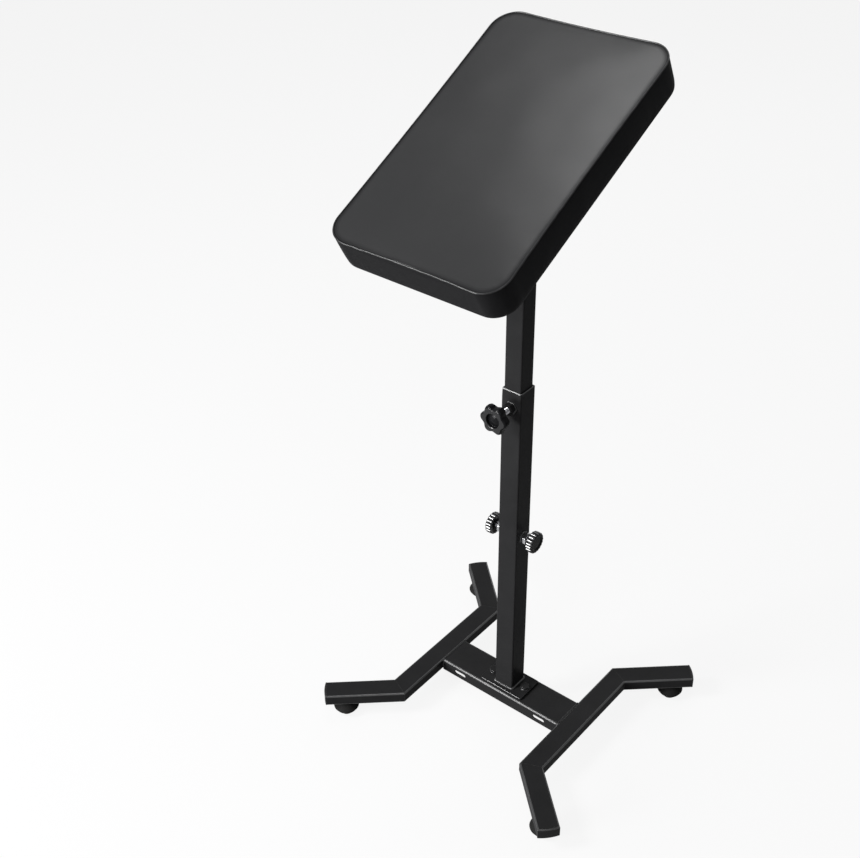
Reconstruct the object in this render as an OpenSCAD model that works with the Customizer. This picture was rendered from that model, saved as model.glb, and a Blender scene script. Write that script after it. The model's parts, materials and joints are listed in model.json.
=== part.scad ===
// Height-adjustable arm rest stand with a tilting upholstered pad.
// Millimetres. The floor is at z = 0 and the column stands on the z axis, set back by column_y.
// X runs along the crossbar, and the low end of the pad points to -Y.

/* [Rails] */
// Width of the rail tube
rail_w = 35; // [25:1:40]
// Height of the rail tube
rail_h = 20; // [15:1:25]
// Wall of the rail tube
rail_wall = 1.5; // [1:0.1:2]
// Length of each rail's middle section along its centre line
rail_mid_len = 253; // [200:1:320]
// Length of each splayed end section along its centre line
rail_end_len = 123; // [90:1:160]
// Angle by which an end section splays outwards
splay = 48; // [30:1:55]

/* [Rail end caps] */
// Thickness of a cap at its edge
cap_edge = 2; // [1:0.5:4]
// Rise of the cap's domed face
cap_dome = 2; // [1:0.5:4]
// Depth of the cap's plug inside the tube
cap_plug = 14; // [8:1:20]
// Wall of the plug
cap_wall = 1.6; // [1:0.1:2.5]

/* [Feet] */
// Height of a rubber foot
foot_h = 30; // [20:1:45]
// Diameter of a foot's neck under the rail
foot_neck_d = 28; // [22:1:30]
// Diameter of a foot at its widest
foot_wide_d = 43; // [34:1:46]
// Height of a foot's widest band above the floor
foot_wide_z = 15; // [12:1:18]
// Diameter of a foot at the floor
foot_floor_d = 24; // [22:1:34]
// Distance from a rail's end to the middle of its foot
foot_inset = 32; // [28:1:50]
// Diameter of the foot screws
foot_screw_d = 6; // [5:0.5:8]
// Depth of the hollow that hides the screw head
foot_recess = 10; // [6:1:14]

/* [Crossbar] */
// Length of the crossbar between the rails
bar_len = 238; // [200:1:300]
// Width of the crossbar
bar_w = 62; // [56:1:80]
// Depth of its side flanges
bar_depth = 22; // [16:1:28]
// Thickness of its sheet
bar_t = 2; // [1.5:0.1:3]
// Outside bend radius
bar_bend = 4; // [3:0.5:6]
// Length of a flange slot, end to end
slot_len = 23; // [14:1:30]
// Width of a flange slot
slot_w = 7; // [5:0.5:8]
// Distance from the crossbar's middle to a slot's middle
slot_x = 82; // [60:1:95]

/* [Base plate] */
// Length of the plate under the column
plate_len = 84; // [76:1:110]
// Width of the plate
plate_w = 53; // [49:1:56]
// Thickness of the plate
plate_t = 4; // [3:0.5:6]
// Distance from the column's middle to a plate bolt
plate_bolt_x = 32; // [28:1:36]
// Diameter of the plate bolts
plate_bolt_d = 8; // [6:1:8]

/* [Column] */
// Distance from the middle of the footprint back to the column
column_y = 8; // [0:1:20]
// Outside width of the outer tube
outer_w = 35; // [35:1:41]
// Wall of the outer tube
outer_wall = 1.5; // [1.2:0.1:1.7]
// Length of the outer tube
outer_len = 588; // [450:1:700]
// Outside width of the inner tube
inner_w = 30; // [29.5:0.1:30.5]
// Wall of the inner tube
inner_wall = 1.5; // [1.2:0.1:2]
// Length of the inner tube
inner_len = 650; // [560:1:690]
// Length of the inner tube that stays inside at rest
inner_inside = 322; // [290:1:360]
// Length of the guide bush in the outer tube's mouth
bush_len = 16; // [10:1:18]
// Height of the glide plug's skirt in the outer tube
glide_h = 8; // [5:1:12]
// Depth of the plugs inside the inner tube
plug_depth = 6; // [4:0.5:10]
// Thickness of the inner tube's top plug
plug_cap = 3; // [2:0.5:4]

/* [Clamp screws] */
// Diameter of the clamp screws
clamp_d = 10; // [8:0.5:10]
// Distance from the outer tube's top to the top clamp
top_clamp_drop = 28; // [24:1:50]
// Distance from the outer tube's top to the two side clamps
side_clamp_drop = 270; // [250:1:290]
// Width of the clamp nuts across flats
nut_flats = 17; // [16:0.5:18]
// Height of the clamp nuts
nut_h = 10; // [7:0.5:12]
// Length of bare stem between the top nut and its knob
top_stem = 14; // [8:1:20]
// Length of bare stem between a side nut and its knob
side_stem = 5; // [5:1:14]
// Thickness of a nylon pressure pad
tip_t = 2; // [1.5:0.1:2.2]

/* [Star knobs] */
// Diameter of the top clamp's star knob
star_d = 47; // [40:1:50]
// Diameter of the tilt knob
tilt_star_d = 42; // [38:1:44]
// Number of lobes
star_lobes = 6; // [5:1:8]
// Thickness of the lobed head
star_head = 14; // [10:1:18]
// Length of the hub behind the head
star_hub = 7; // [4:1:10]
// Diameter of the hub
star_hub_d = 20; // [18:1:24]
// Diameter of the ring recess in the face
star_recess_d = 22; // [16:1:24]
// Depth of the ring recess
star_recess = 3; // [1:0.5:4]

/* [Fluted knobs] */
// Diameter of the side clamps' fluted knobs
flute_knob_d = 35; // [32:1:42]
// Thickness of a fluted knob
flute_knob_t = 12; // [10:1:16]
// Number of flutes
flutes = 18; // [12:1:24]
// Depth of a flute
flute_depth = 1.6; // [1:0.1:2]

/* [Tilt joint] */
// Angle of the pad above level
tilt = 27.5; // [0:0.5:60]
// Diameter of the hinge bolt
tilt_bolt_d = 10; // [8:0.5:10]
// Room between the top plug and the hinge bolt's sleeve
sleeve_gap = 0.5; // [0.2:0.1:4]
// Wall of the hinge bolt's sleeve
sleeve_wall = 2.5; // [1:0.1:3]
// Distance from the hinge to the pad's underside
hinge_to_pad = 42; // [36:1:60]
// Thickness of a friction washer
friction_t = 1; // [0.5:0.1:2]
// Thickness of the bracket's sheet
bracket_t = 3; // [2:0.5:4]
// Length of the bracket along the pad
bracket_len = 50; // [36:1:70]
// Outside radius of an ear round the hinge
ear_r = 15; // [13:0.5:17]
// Thickness of the steel washers
washer_t = 2; // [1:0.5:3]
// Diameter of the steel washers
washer_d = 21; // [19:1:24]

/* [Pad] */
// Width of the pad
pad_w = 270; // [200:1:320]
// Length of the pad
pad_len = 420; // [320:1:500]
// Thickness of the pad at its edge
pad_t = 50; // [40:1:70]
// Radius of the pad's corners
pad_corner = 34; // [20:1:50]
// Distance from the hinge to the pad's middle, towards its low end
pad_shift = 15.5; // [0:0.5:30]
// Rise of the crown in the middle of the top
crown = 4; // [1:0.5:8]
// How far the sides are drawn in between the corners
draw_in = 2; // [0.5:0.5:4]
// How far the sides bow out half way up
side_bow = 1.5; // [0:0.5:3]
// Thickness of the vinyl
vinyl_t = 1.2; // [0.8:0.1:2]
// Width of the vinyl hem turned under the board
hem_w = 24; // [15:1:40]
// Radius of the top edge
edge_r = 5; // [3:0.5:10]
// Thickness of the plywood board
board_t = 12; // [9:1:18]
// Thickness of the dust cover
dust_t = 0.8; // [0.5:0.1:1.5]

/* [Pad plate] */
// Width of the steel plate under the pad
pad_plate_w = 100; // [90:1:160]
// Length of the plate
pad_plate_len = 120; // [110:1:200]
// Thickness of the plate
pad_plate_t = 3; // [2:0.5:4]
// Spacing of its screws across the pad
pad_screw_x = 80; // [70:1:88]
// Spacing of its screws along the pad
pad_screw_y = 100; // [80:1:108]
// Diameter of its screws
pad_screw_d = 6; // [5:0.5:6]

/* [Hidden] */
$fn = 64;
// Cuts run past the faces they open by this much
over = 1;
// Clearance of a shaft in its bore, on the radius
run_fit = 0.05;
// Clearance between flat faces that slide, and between a plug and its tube
slide_fit = 0.1;
// Clearance between soft pieces that lie against each other
soft_fit = 0.3;
// Clearance of a screw in a plain hole, on the radius
hole_fit = 0.3;

// Heights of the base
rail_z = foot_h;
rail_top = rail_z + rail_h;
plate_top = rail_top + plate_t;
outer_top = plate_top + outer_len;
rail_x = bar_len / 2 + rail_w / 2;
rail_bend_y = rail_mid_len / 2;
mitre = tan(splay / 2);

// The inner tube, at rest
inner_bottom = outer_top - inner_inside;
inner_top = inner_bottom + inner_len;
sleeve_r = tilt_bolt_d / 2 + sleeve_wall;
hinge_z = inner_top - plug_depth - sleeve_gap - sleeve_r;

// Heads, nuts and inserts, in shares of the screw that they belong to
head_flats_share = 1.7;
head_h_share = 0.64;
nut_h_share = 0.8;
pan_d_share = 1.9;
pan_h_share = 0.6;
thin_washer_share = 0.2;
thin_washer_d_share = 2;
foot_washer_d = foot_screw_d * thin_washer_d_share;
insert_wall = 1.5;
insert_bulge = 1;
insert_flange = 3.5;
insert_flange_t = 1;
insert_len = 7;
recess_fit = 0.5;

// Clamps: distances from the column's middle to each face in turn
outer_in = outer_w / 2 - outer_wall;
tip_near = inner_w / 2 + slide_fit;
tip_far = tip_near + tip_t;
nut_far = outer_w / 2 + nut_h;
clamp_hole_r = clamp_d / 2 + hole_fit;
tip_r = clamp_d / 2 - slide_fit;
stem_in_knob_share = 0.75;

// Star knob
star_scallop_share = 0.36;
star_valley_share = 0.83;
star_round = 2;
star_core_share = 0.45;
tilt_insert_wall = 2;
tilt_end_gap = 2;

// Fluted knob
knob_round = 1.5;
flute_r_share = 0.062;
knob_dish_share = 0.66;
knob_dish = 1.5;

// Tilt joint: distances from the hinge along X
ear_in = inner_w / 2 + friction_t;
ear_out = ear_in + bracket_t;
tilt_washer_out = ear_out + washer_t;
tilt_head_flats = tilt_bolt_d * head_flats_share;
tilt_head_h = tilt_bolt_d * head_h_share;

// Pad: heights above the hinge, square to the pad
plate_low = hinge_to_pad - pad_plate_t;
web_low = plate_low - bracket_t;
dust_low = hinge_to_pad;
hem_low = dust_low + dust_t;
board_low = hem_low + vinyl_t;
board_top = board_low + board_t;
pad_top = hinge_to_pad + pad_t;
board_inset = side_bow + vinyl_t + draw_in + soft_fit;
hem_edge_r = 1.5;
foam_low = board_top + soft_fit;
foam_gap = vinyl_t + soft_fit;
tee_flange_t = 1.5;
tee_flange_r_share = 1.6;
tee_barrel_wall = 1;
tee_barrel_len = 9;
screw_tail = 0.5;
plate_corner = 8;
dust_inset = 8;

// The cushion's rings: points along a corner, along a long side and along a short side
corner_steps = 5;
long_steps = 4;
short_steps = 3;
// Shares of the half size at which the crown's rings lie
crown_shares = [0.88, 0.64, 0.35];
// Shares of the side's height at which its rings lie
side_shares = [0.25, 0.5, 0.75];

// Placing

// Everything is drawn round the column and set back from the middle of the footprint
module in_place() translate([0, column_y, 0]) children();

// side is 1 at the right and -1 at the left, end is 1 at the far end and -1 at the near end
module at_corner(side, end) {
    mirror([side < 0 ? 1 : 0, 0, 0]) mirror([0, end < 0 ? 1 : 0, 0]) children();
}

// Local +Y runs along the right far end section, from the bend to its tip
module along_end() translate([rail_x, rail_bend_y, 0]) rotate([0, 0, -splay]) children();

// Local +Z points away from the column through a clamp, at height z
module at_top_clamp() translate([0, 0, outer_top - top_clamp_drop]) rotate([90, 0, 0]) children();
module at_side_clamp(side) {
    translate([0, 0, outer_top - side_clamp_drop]) rotate([0, side * 90, 0]) children();
}

// Local origin at the hinge, +Z square to the pad and +Y towards its high end
module at_head() translate([0, 0, hinge_z]) rotate([tilt, 0, 0]) children();
module at_pad() translate([0, -pad_shift, 0]) children();
// Local +Z along the hinge towards the tilt knob
module along_hinge() rotate([0, 90, 0]) children();

// Shapes

module ring(r_out, r_in, h) {
    difference() {
        cylinder(r = r_out, h = h);
        translate([0, 0, -over]) cylinder(r = r_in, h = h + 2 * over);
    }
}

module hex(flats, h) cylinder(r = flats / 2 / cos(30), h = h, $fn = 6);

module box(size) translate([-size.x / 2, -size.y / 2, 0]) cube(size);

module square_tube(w, wall, h) {
    difference() {
        box([w, w, h]);
        translate([0, 0, -over]) box([w - 2 * wall, w - 2 * wall, h + 2 * over]);
    }
}

module round_rect(w, l, r) {
    square([w - 2 * r, l], center = true);
    square([w, l - 2 * r], center = true);
    for (x = [-1, 1], y = [-1, 1]) translate([x * (w / 2 - r), y * (l / 2 - r)]) circle(r = r);
}

module slot_hole(len, w, depth) {
    box([len - w, w, depth]);
    for (x = [-1, 1]) translate([x * (len - w) / 2, 0, 0]) cylinder(d = w, h = depth);
}

// Rails

module rail_middle(side) {
    half = rail_w / 2;
    at_corner(side, 1) difference() {
        translate([rail_x, 0, rail_z]) linear_extrude(rail_h) polygon([
            [half, rail_bend_y - half * mitre], [-half, rail_bend_y + half * mitre],
            [-half, -rail_bend_y - half * mitre], [half, -rail_bend_y + half * mitre]]);
        translate([rail_x, 0, rail_z + rail_wall])
            box([rail_w - 2 * rail_wall, rail_mid_len + 2 * rail_w, rail_h - 2 * rail_wall]);
    }
}

module rail_end(side, end) {
    half = rail_w / 2;
    at_corner(side, end) along_end() difference() {
        translate([0, 0, rail_z]) linear_extrude(rail_h) polygon([
            [half, half * mitre], [half, rail_end_len],
            [-half, rail_end_len], [-half, -half * mitre]]);
        translate([0, rail_end_len / 2, rail_z + rail_wall])
            box([rail_w - 2 * rail_wall, rail_end_len + 2 * rail_w, rail_h - 2 * rail_wall]);
        translate([0, rail_end_len - foot_inset, rail_z - over])
            cylinder(r = foot_screw_d / 2 + insert_wall + run_fit, h = rail_wall + 2 * over);
    }
}

module end_cap(side, end) {
    plug_w = rail_w - 2 * rail_wall - 2 * slide_fit;
    plug_h = rail_h - 2 * rail_wall - 2 * slide_fit;
    dome_r = (pow(rail_w / 2, 2) + pow(cap_dome, 2)) / (2 * cap_dome);
    at_corner(side, end) along_end() translate([0, rail_end_len, rail_z + rail_h / 2]) {
        translate([0, -cap_plug, 0]) difference() {
            translate([-plug_w / 2, 0, -plug_h / 2]) cube([plug_w, cap_plug, plug_h]);
            translate([-plug_w / 2 + cap_wall, -over, -plug_h / 2 + cap_wall])
                cube([plug_w - 2 * cap_wall, cap_plug + over, plug_h - 2 * cap_wall]);
        }
        intersection() {
            translate([-rail_w / 2, 0, -rail_h / 2]) cube([rail_w, cap_edge + cap_dome, rail_h]);
            translate([0, cap_edge + cap_dome - dome_r, -rail_h / 2])
                cylinder(r = dome_r, h = rail_h, $fn = 180);
        }
    }
}

// Feet

module at_feet() {
    for (side = [-1, 1], end = [-1, 1])
        at_corner(side, end) along_end() translate([0, rail_end_len - foot_inset, 0]) children();
}

module foot(side, end) {
    edge = foot_recess / 4;
    band = foot_h / 8;
    at_corner(side, end) along_end() translate([0, rail_end_len - foot_inset, 0]) difference() {
        rotate_extrude() polygon([
            [foot_screw_d / 2 + hole_fit, foot_recess], [foot_washer_d / 2 + recess_fit, foot_recess],
            [foot_washer_d / 2 + recess_fit, 0], [foot_floor_d / 2 - edge / 2, 0],
            [foot_floor_d / 2, edge / 2], [foot_wide_d / 2, foot_wide_z - band / 2],
            [foot_wide_d / 2, foot_wide_z + band / 2], [foot_neck_d / 2, foot_h - band * 1.5],
            [foot_neck_d / 2, foot_h], [foot_screw_d / 2 + hole_fit, foot_h]]);
        translate([0, 0, foot_h - insert_flange_t - slide_fit])
            cylinder(r = foot_screw_d / 2 + insert_flange + slide_fit,
                     h = insert_flange_t + slide_fit + over);
    }
}

module foot_screws() {
    head_h = foot_screw_d * pan_h_share;
    at_feet() {
        translate([0, 0, foot_recess]) cylinder(r = foot_screw_d / 2, h = foot_h + insert_len - foot_recess);
        translate([0, 0, foot_recess - head_h]) cylinder(d = foot_screw_d * pan_d_share, h = head_h);
    }
}

module foot_inserts() {
    bore = foot_screw_d / 2 + run_fit;
    body = foot_screw_d / 2 + insert_wall;
    at_feet() translate([0, 0, rail_z]) {
        translate([0, 0, -insert_flange_t]) ring(foot_screw_d / 2 + insert_flange, bore, insert_flange_t);
        ring(body, bore, rail_wall);
        translate([0, 0, rail_wall]) ring(body + insert_bulge, bore, insert_len);
    }
}

// Crossbar and base plate

module channel_profile(w, depth, r) {
    translate([-w / 2, 0]) square([w, depth - r]);
    translate([-w / 2 + r, 0]) square([w - 2 * r, depth]);
    for (x = [-1, 1]) translate([x * (w / 2 - r), depth - r]) circle(r = r);
}

module crossbar() {
    difference() {
        translate([-bar_len / 2, 0, rail_top - bar_depth]) rotate([90, 0, 90]) linear_extrude(bar_len)
            difference() {
                channel_profile(bar_w, bar_depth, bar_bend);
                translate([0, -over])
                    channel_profile(bar_w - 2 * bar_t, bar_depth - bar_t + over, bar_bend - bar_t);
            }
        for (x = [-1, 1]) translate([x * slot_x, 0, rail_top - (bar_depth + bar_t) / 2]) {
            translate([0, bar_w / 2 + over, 0]) rotate([90, 0, 0])
                slot_hole(slot_len, slot_w, bar_w + 2 * over);
        }
        at_plate_bolts() translate([0, 0, rail_top - bar_t - over])
            cylinder(r = plate_bolt_d / 2 + hole_fit, h = bar_t + 2 * over);
    }
}

module at_plate_bolts() for (x = [-1, 1]) translate([x * plate_bolt_x, 0, 0]) children();

module base_plate() {
    difference() {
        translate([0, 0, rail_top]) box([plate_len, plate_w, plate_t]);
        at_plate_bolts() translate([0, 0, rail_top - over])
            cylinder(r = plate_bolt_d / 2 + hole_fit, h = plate_t + 2 * over);
    }
}

plate_washer_t = plate_bolt_d * thin_washer_share;
plate_nut_h = plate_bolt_d * nut_h_share;

module plate_bolts() {
    shank = plate_t + bar_t + plate_washer_t + plate_nut_h + 2 * screw_tail;
    at_plate_bolts() {
        translate([0, 0, plate_top]) hex(plate_bolt_d * head_flats_share, plate_bolt_d * head_h_share);
        translate([0, 0, plate_top - shank]) cylinder(d = plate_bolt_d, h = shank);
    }
}

module plate_washers() {
    at_plate_bolts() translate([0, 0, rail_top - bar_t - plate_washer_t])
        ring(plate_bolt_d * thin_washer_d_share / 2, plate_bolt_d / 2 + hole_fit, plate_washer_t);
}

module plate_nuts() {
    at_plate_bolts() translate([0, 0, rail_top - bar_t - plate_washer_t - plate_nut_h]) difference() {
        hex(plate_bolt_d * head_flats_share, plate_nut_h);
        translate([0, 0, -over]) cylinder(r = plate_bolt_d / 2 + run_fit, h = plate_nut_h + 2 * over);
    }
}

// Column

module clamp_hole() translate([0, 0, inner_w / 2]) cylinder(r = clamp_hole_r, h = outer_wall * 4);

module outer_tube() {
    difference() {
        translate([0, 0, plate_top]) square_tube(outer_w, outer_wall, outer_len);
        at_top_clamp() clamp_hole();
        for (side = [-1, 1]) at_side_clamp(side) clamp_hole();
    }
}

module guide_bush() {
    wall = outer_in - inner_w / 2 - 2 * slide_fit;
    translate([0, 0, outer_top - bush_len - over])
        square_tube(2 * (outer_in - slide_fit), wall, bush_len);
}

module clamp_nut() {
    translate([0, 0, outer_w / 2]) difference() {
        hex(nut_flats, nut_h);
        translate([0, 0, -over]) cylinder(r = clamp_d / 2 + run_fit, h = nut_h + 2 * over);
    }
}

module inner_tube() {
    difference() {
        translate([0, 0, inner_bottom]) square_tube(inner_w, inner_wall, inner_len);
        translate([-inner_w, 0, hinge_z]) along_hinge()
            cylinder(r = tilt_bolt_d / 2 + run_fit, h = 2 * inner_w);
    }
}

module glide_plug() {
    bore = inner_w - 2 * inner_wall - 2 * slide_fit;
    skirt = 2 * (outer_in - slide_fit);
    translate([0, 0, inner_bottom - glide_h]) box([skirt, skirt, glide_h]);
    translate([0, 0, inner_bottom]) box([bore, bore, plug_depth]);
}

module top_plug() {
    bore = inner_w - 2 * inner_wall - 2 * slide_fit;
    translate([0, 0, inner_top]) box([inner_w, inner_w, plug_cap]);
    translate([0, 0, inner_top - plug_depth]) box([bore, bore, plug_depth]);
}

// Clamp screws, drawn along +Z from the column's middle

module pressure_pad() translate([0, 0, tip_near]) cylinder(r = tip_r, h = tip_t);

module clamp_screw(stem, knob_t) {
    translate([0, 0, tip_far])
        cylinder(r = clamp_d / 2, h = nut_far + stem + knob_t * stem_in_knob_share - tip_far);
}

module stem_hole(knob_t) {
    translate([0, 0, -over])
        cylinder(r = clamp_d / 2 + run_fit, h = knob_t * stem_in_knob_share + over + run_fit);
}

// A lobed head on a hub, with a ring recess in its face
module star(d, hub_h) {
    h = hub_h + star_head;
    difference() {
        rotate_extrude() polygon([
            [0, 0], [star_hub_d / 2, 0], [star_hub_d / 2 + star_round, hub_h], [d / 2 - star_round, hub_h],
            [d / 2, hub_h + star_round], [d / 2, h - star_round], [d / 2 - star_round, h], [0, h]]);
        for (i = [0:star_lobes - 1]) rotate([0, 0, (i + 0.5) * 360 / star_lobes])
            translate([d / 2 * (star_valley_share + star_scallop_share), 0, hub_h - over])
                cylinder(r = d / 2 * star_scallop_share, h = star_head + 2 * over);
        translate([0, 0, h - star_recess])
            ring(star_recess_d / 2, star_recess_d / 2 * star_core_share, star_recess + over);
    }
}

module top_knob() {
    translate([0, 0, nut_far + top_stem]) difference() {
        star(star_d, star_hub);
        stem_hole(star_hub + star_head);
    }
}

module fluted_knob() {
    r = flute_knob_d / 2;
    flute_r = flute_knob_d * flute_r_share;
    translate([0, 0, nut_far + side_stem]) difference() {
        rotate_extrude() polygon([
            [0, 0], [r - knob_round, 0], [r, knob_round], [r, flute_knob_t - knob_round],
            [r - knob_round, flute_knob_t], [r * knob_dish_share, flute_knob_t],
            [r * knob_dish_share - knob_dish, flute_knob_t - knob_dish], [0, flute_knob_t - knob_dish]]);
        for (i = [0:flutes - 1]) rotate([0, 0, i * 360 / flutes])
            translate([r + flute_r - flute_depth, 0, -over])
                cylinder(r = flute_r, h = flute_knob_t + 2 * over);
        stem_hole(flute_knob_t);
    }
}

// Tilt joint

module tilt_sleeve() {
    length = inner_w - 2 * inner_wall - 2 * slide_fit;
    translate([-length / 2, 0, hinge_z]) along_hinge()
        ring(sleeve_r, tilt_bolt_d / 2 + run_fit, length);
}

module tilt_bracket() {
    at_head() difference() {
        union() {
            translate([0, 0, web_low]) box([2 * ear_out, bracket_len, bracket_t]);
            for (x = [-ear_out, ear_in]) translate([x, 0, 0]) {
                along_hinge() cylinder(r = ear_r, h = bracket_t);
                translate([bracket_t / 2, 0, 0]) box([bracket_t, 2 * ear_r, web_low]);
            }
        }
        translate([-2 * ear_out, 0, 0]) along_hinge()
            cylinder(r = tilt_bolt_d / 2 + run_fit, h = 4 * ear_out);
    }
}

module friction_washers() {
    at_head() for (x = [-ear_in, inner_w / 2]) translate([x, 0, 0]) along_hinge()
        ring(washer_d / 2, tilt_bolt_d / 2 + run_fit, friction_t);
}

tilt_bolt_end = tilt_washer_out + star_hub + star_head - star_recess - tilt_end_gap;

module tilt_bolt() {
    at_head() {
        translate([-tilt_washer_out - tilt_head_h, 0, 0]) along_hinge() hex(tilt_head_flats, tilt_head_h);
        translate([-tilt_washer_out, 0, 0]) along_hinge()
            cylinder(r = tilt_bolt_d / 2, h = tilt_washer_out + tilt_bolt_end);
    }
}

module hinge_washer(x) {
    at_head() translate([x, 0, 0]) along_hinge() ring(washer_d / 2, tilt_bolt_d / 2 + run_fit, washer_t);
}

module tilt_knob() {
    at_head() translate([tilt_washer_out, 0, 0]) along_hinge() difference() {
        star(tilt_star_d, star_hub);
        translate([0, 0, -over])
            cylinder(r = tilt_bolt_d / 2 + tilt_insert_wall + run_fit,
                     h = star_hub + star_head - star_recess);
    }
}

module tilt_knob_insert() {
    at_head() translate([tilt_washer_out, 0, 0]) along_hinge()
        ring(tilt_bolt_d / 2 + tilt_insert_wall, tilt_bolt_d / 2 + run_fit, star_hub + star_head / 2);
}

// Pad

module at_pad_screws() {
    at_head() at_pad() for (x = [-1, 1], y = [-1, 1])
        translate([x * pad_screw_x / 2, y * pad_screw_y / 2, 0]) children();
}

module pad_plate() {
    difference() {
        at_head() at_pad() translate([0, 0, plate_low]) linear_extrude(pad_plate_t)
            round_rect(pad_plate_w, pad_plate_len, plate_corner);
        at_pad_screws() translate([0, 0, plate_low - over])
            cylinder(r = pad_screw_d / 2 + hole_fit, h = pad_plate_t + 2 * over);
    }
}

module pad_screws() {
    head_h = pad_screw_d * pan_h_share;
    at_pad_screws() {
        translate([0, 0, plate_low - head_h]) cylinder(d = pad_screw_d * pan_d_share, h = head_h);
        translate([0, 0, plate_low]) cylinder(d = pad_screw_d, h = board_top - screw_tail - plate_low);
    }
}

module tee_nuts() {
    bore = pad_screw_d / 2 + run_fit;
    at_pad_screws() {
        translate([0, 0, board_top - tee_flange_t])
            ring(pad_screw_d * tee_flange_r_share, bore, tee_flange_t);
        translate([0, 0, board_top - tee_barrel_len])
            ring(pad_screw_d / 2 + tee_barrel_wall, bore, tee_barrel_len - tee_flange_t);
    }
}

module plywood_board() {
    difference() {
        at_head() at_pad() translate([0, 0, board_low]) linear_extrude(board_t)
            round_rect(pad_w - 2 * board_inset, pad_len - 2 * board_inset, pad_corner - board_inset);
        at_pad_screws() {
            translate([0, 0, board_low - over])
                cylinder(r = pad_screw_d / 2 + tee_barrel_wall + slide_fit, h = board_t + 2 * over);
            translate([0, 0, board_top - tee_flange_t - slide_fit])
                cylinder(r = pad_screw_d * tee_flange_r_share + slide_fit,
                         h = tee_flange_t + slide_fit + over);
        }
    }
}

module dust_cover() {
    inset = hem_w + draw_in + soft_fit;
    difference() {
        at_head() at_pad() {
            translate([0, 0, dust_low]) linear_extrude(dust_t)
                round_rect(pad_w - 2 * dust_inset, pad_len - 2 * dust_inset, pad_corner - dust_inset);
            translate([0, 0, hem_low]) linear_extrude(vinyl_t)
                round_rect(pad_w - 2 * inset, pad_len - 2 * inset, plate_corner);
        }
        at_pad_screws() translate([0, 0, dust_low - over])
            cylinder(r = pad_screw_d / 2 + hole_fit, h = dust_t + vinyl_t + 2 * over);
    }
}

// Cushion

// How far a side is drawn in at share t of its length: nothing at the corners, all in the middle
function drawn(t) = draw_in * (1 - pow(2 * t - 1, 2));

// One quarter of a ring, inset from the pad's outline: a corner arc and half of the next side at each end
function corner_arc(w, l, r, x, y, from) = [for (i = [0:corner_steps])
    let (a = from + i * 90 / corner_steps) [x * (w / 2 - r) + r * cos(a), y * (l / 2 - r) + r * sin(a)]];
function side_run(p, q, n, out) = [for (i = [1:n - 1]) let (t = i / n) p + (q - p) * t - out * drawn(t)];

// A closed ring of the pad's outline, inset by d and shrunk to share s of its size
function outline(d, s) = let (
        w = pad_w - 2 * d, l = pad_len - 2 * d, r = max(pad_corner - d, edge_r),
        x = w / 2, y = l / 2, xr = x - r, yr = y - r)
    [for (p = concat(
        corner_arc(w, l, r, 1, 1, 0), side_run([xr, y], [-xr, y], short_steps, [0, 1]),
        corner_arc(w, l, r, -1, 1, 90), side_run([-x, yr], [-x, -yr], long_steps, [-1, 0]),
        corner_arc(w, l, r, -1, -1, 180), side_run([-xr, -y], [xr, -y], short_steps, [0, -1]),
        corner_arc(w, l, r, 1, -1, 270), side_run([x, -yr], [x, yr], long_steps, [1, 0]))) p * s];
ring_n = len(outline(0, 1));

function at_z(points, z) = [for (p = points) [p.x, p.y, z]];
function bow(t) = side_bow * (1 - pow(2 * t - 1, 2)) - side_bow;

// Rings of a cushion skin from its bottom edge to its crown, d inside the outer skin
function side_rings(low, d) = let (top = pad_top - edge_r)
    [for (t = side_shares) at_z(outline(d - bow(t), 1), low + (top - low) * t)];
function edge_rings(d) = [for (a = [0:45:90])
    at_z(outline(side_bow + d + (edge_r - d) * (1 - cos(a)), 1), pad_top - edge_r + (edge_r - d) * sin(a))];
function crown_rings(d) = [for (s = crown_shares)
    at_z(outline(side_bow + edge_r, s), pad_top - d + crown * (1 - s * s))];
function skin_top(d) = [[0, 0, pad_top - d + crown]];

function flatten(rings) = [for (r = rings) each r];
function band(a, b) = [for (i = [0:ring_n - 1]) let (j = (i + 1) % ring_n)
    each [[a + i, b + i, b + j], [a + i, b + j, a + j]]];
function fan(a, apex) = [for (i = [0:ring_n - 1]) [a + i, apex, a + (i + 1) % ring_n]];
function flipped(faces) = [for (f = faces) [f[0], f[2], f[1]]];
function bands(first, count) =
    [for (k = [0:count - 2]) each band(first + k * ring_n, first + (k + 1) * ring_n)];

module vinyl_cover() {
    outer = concat(
        [at_z(outline(hem_w, 1), hem_low), at_z(outline(side_bow + hem_edge_r, 1), hem_low),
         at_z(outline(side_bow, 1), hem_low + hem_edge_r)],
        side_rings(hem_low, 0), edge_rings(0), crown_rings(0));
    inner = concat(
        [at_z(outline(hem_w, 1), hem_low + vinyl_t),
         at_z(outline(side_bow + vinyl_t, 1), hem_low + vinyl_t)],
        side_rings(hem_low, vinyl_t), edge_rings(vinyl_t), crown_rings(vinyl_t));
    points = concat(flatten(outer), skin_top(0), flatten(inner), skin_top(vinyl_t));
    inner_first = len(outer) * ring_n + 1;
    faces = concat(
        bands(0, len(outer)), fan((len(outer) - 1) * ring_n, len(outer) * ring_n),
        flipped(bands(inner_first, len(inner))),
        flipped(fan(inner_first + (len(inner) - 1) * ring_n, inner_first + len(inner) * ring_n)),
        flipped(band(0, inner_first)));
    at_head() at_pad() polyhedron(points, faces);
}

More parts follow.
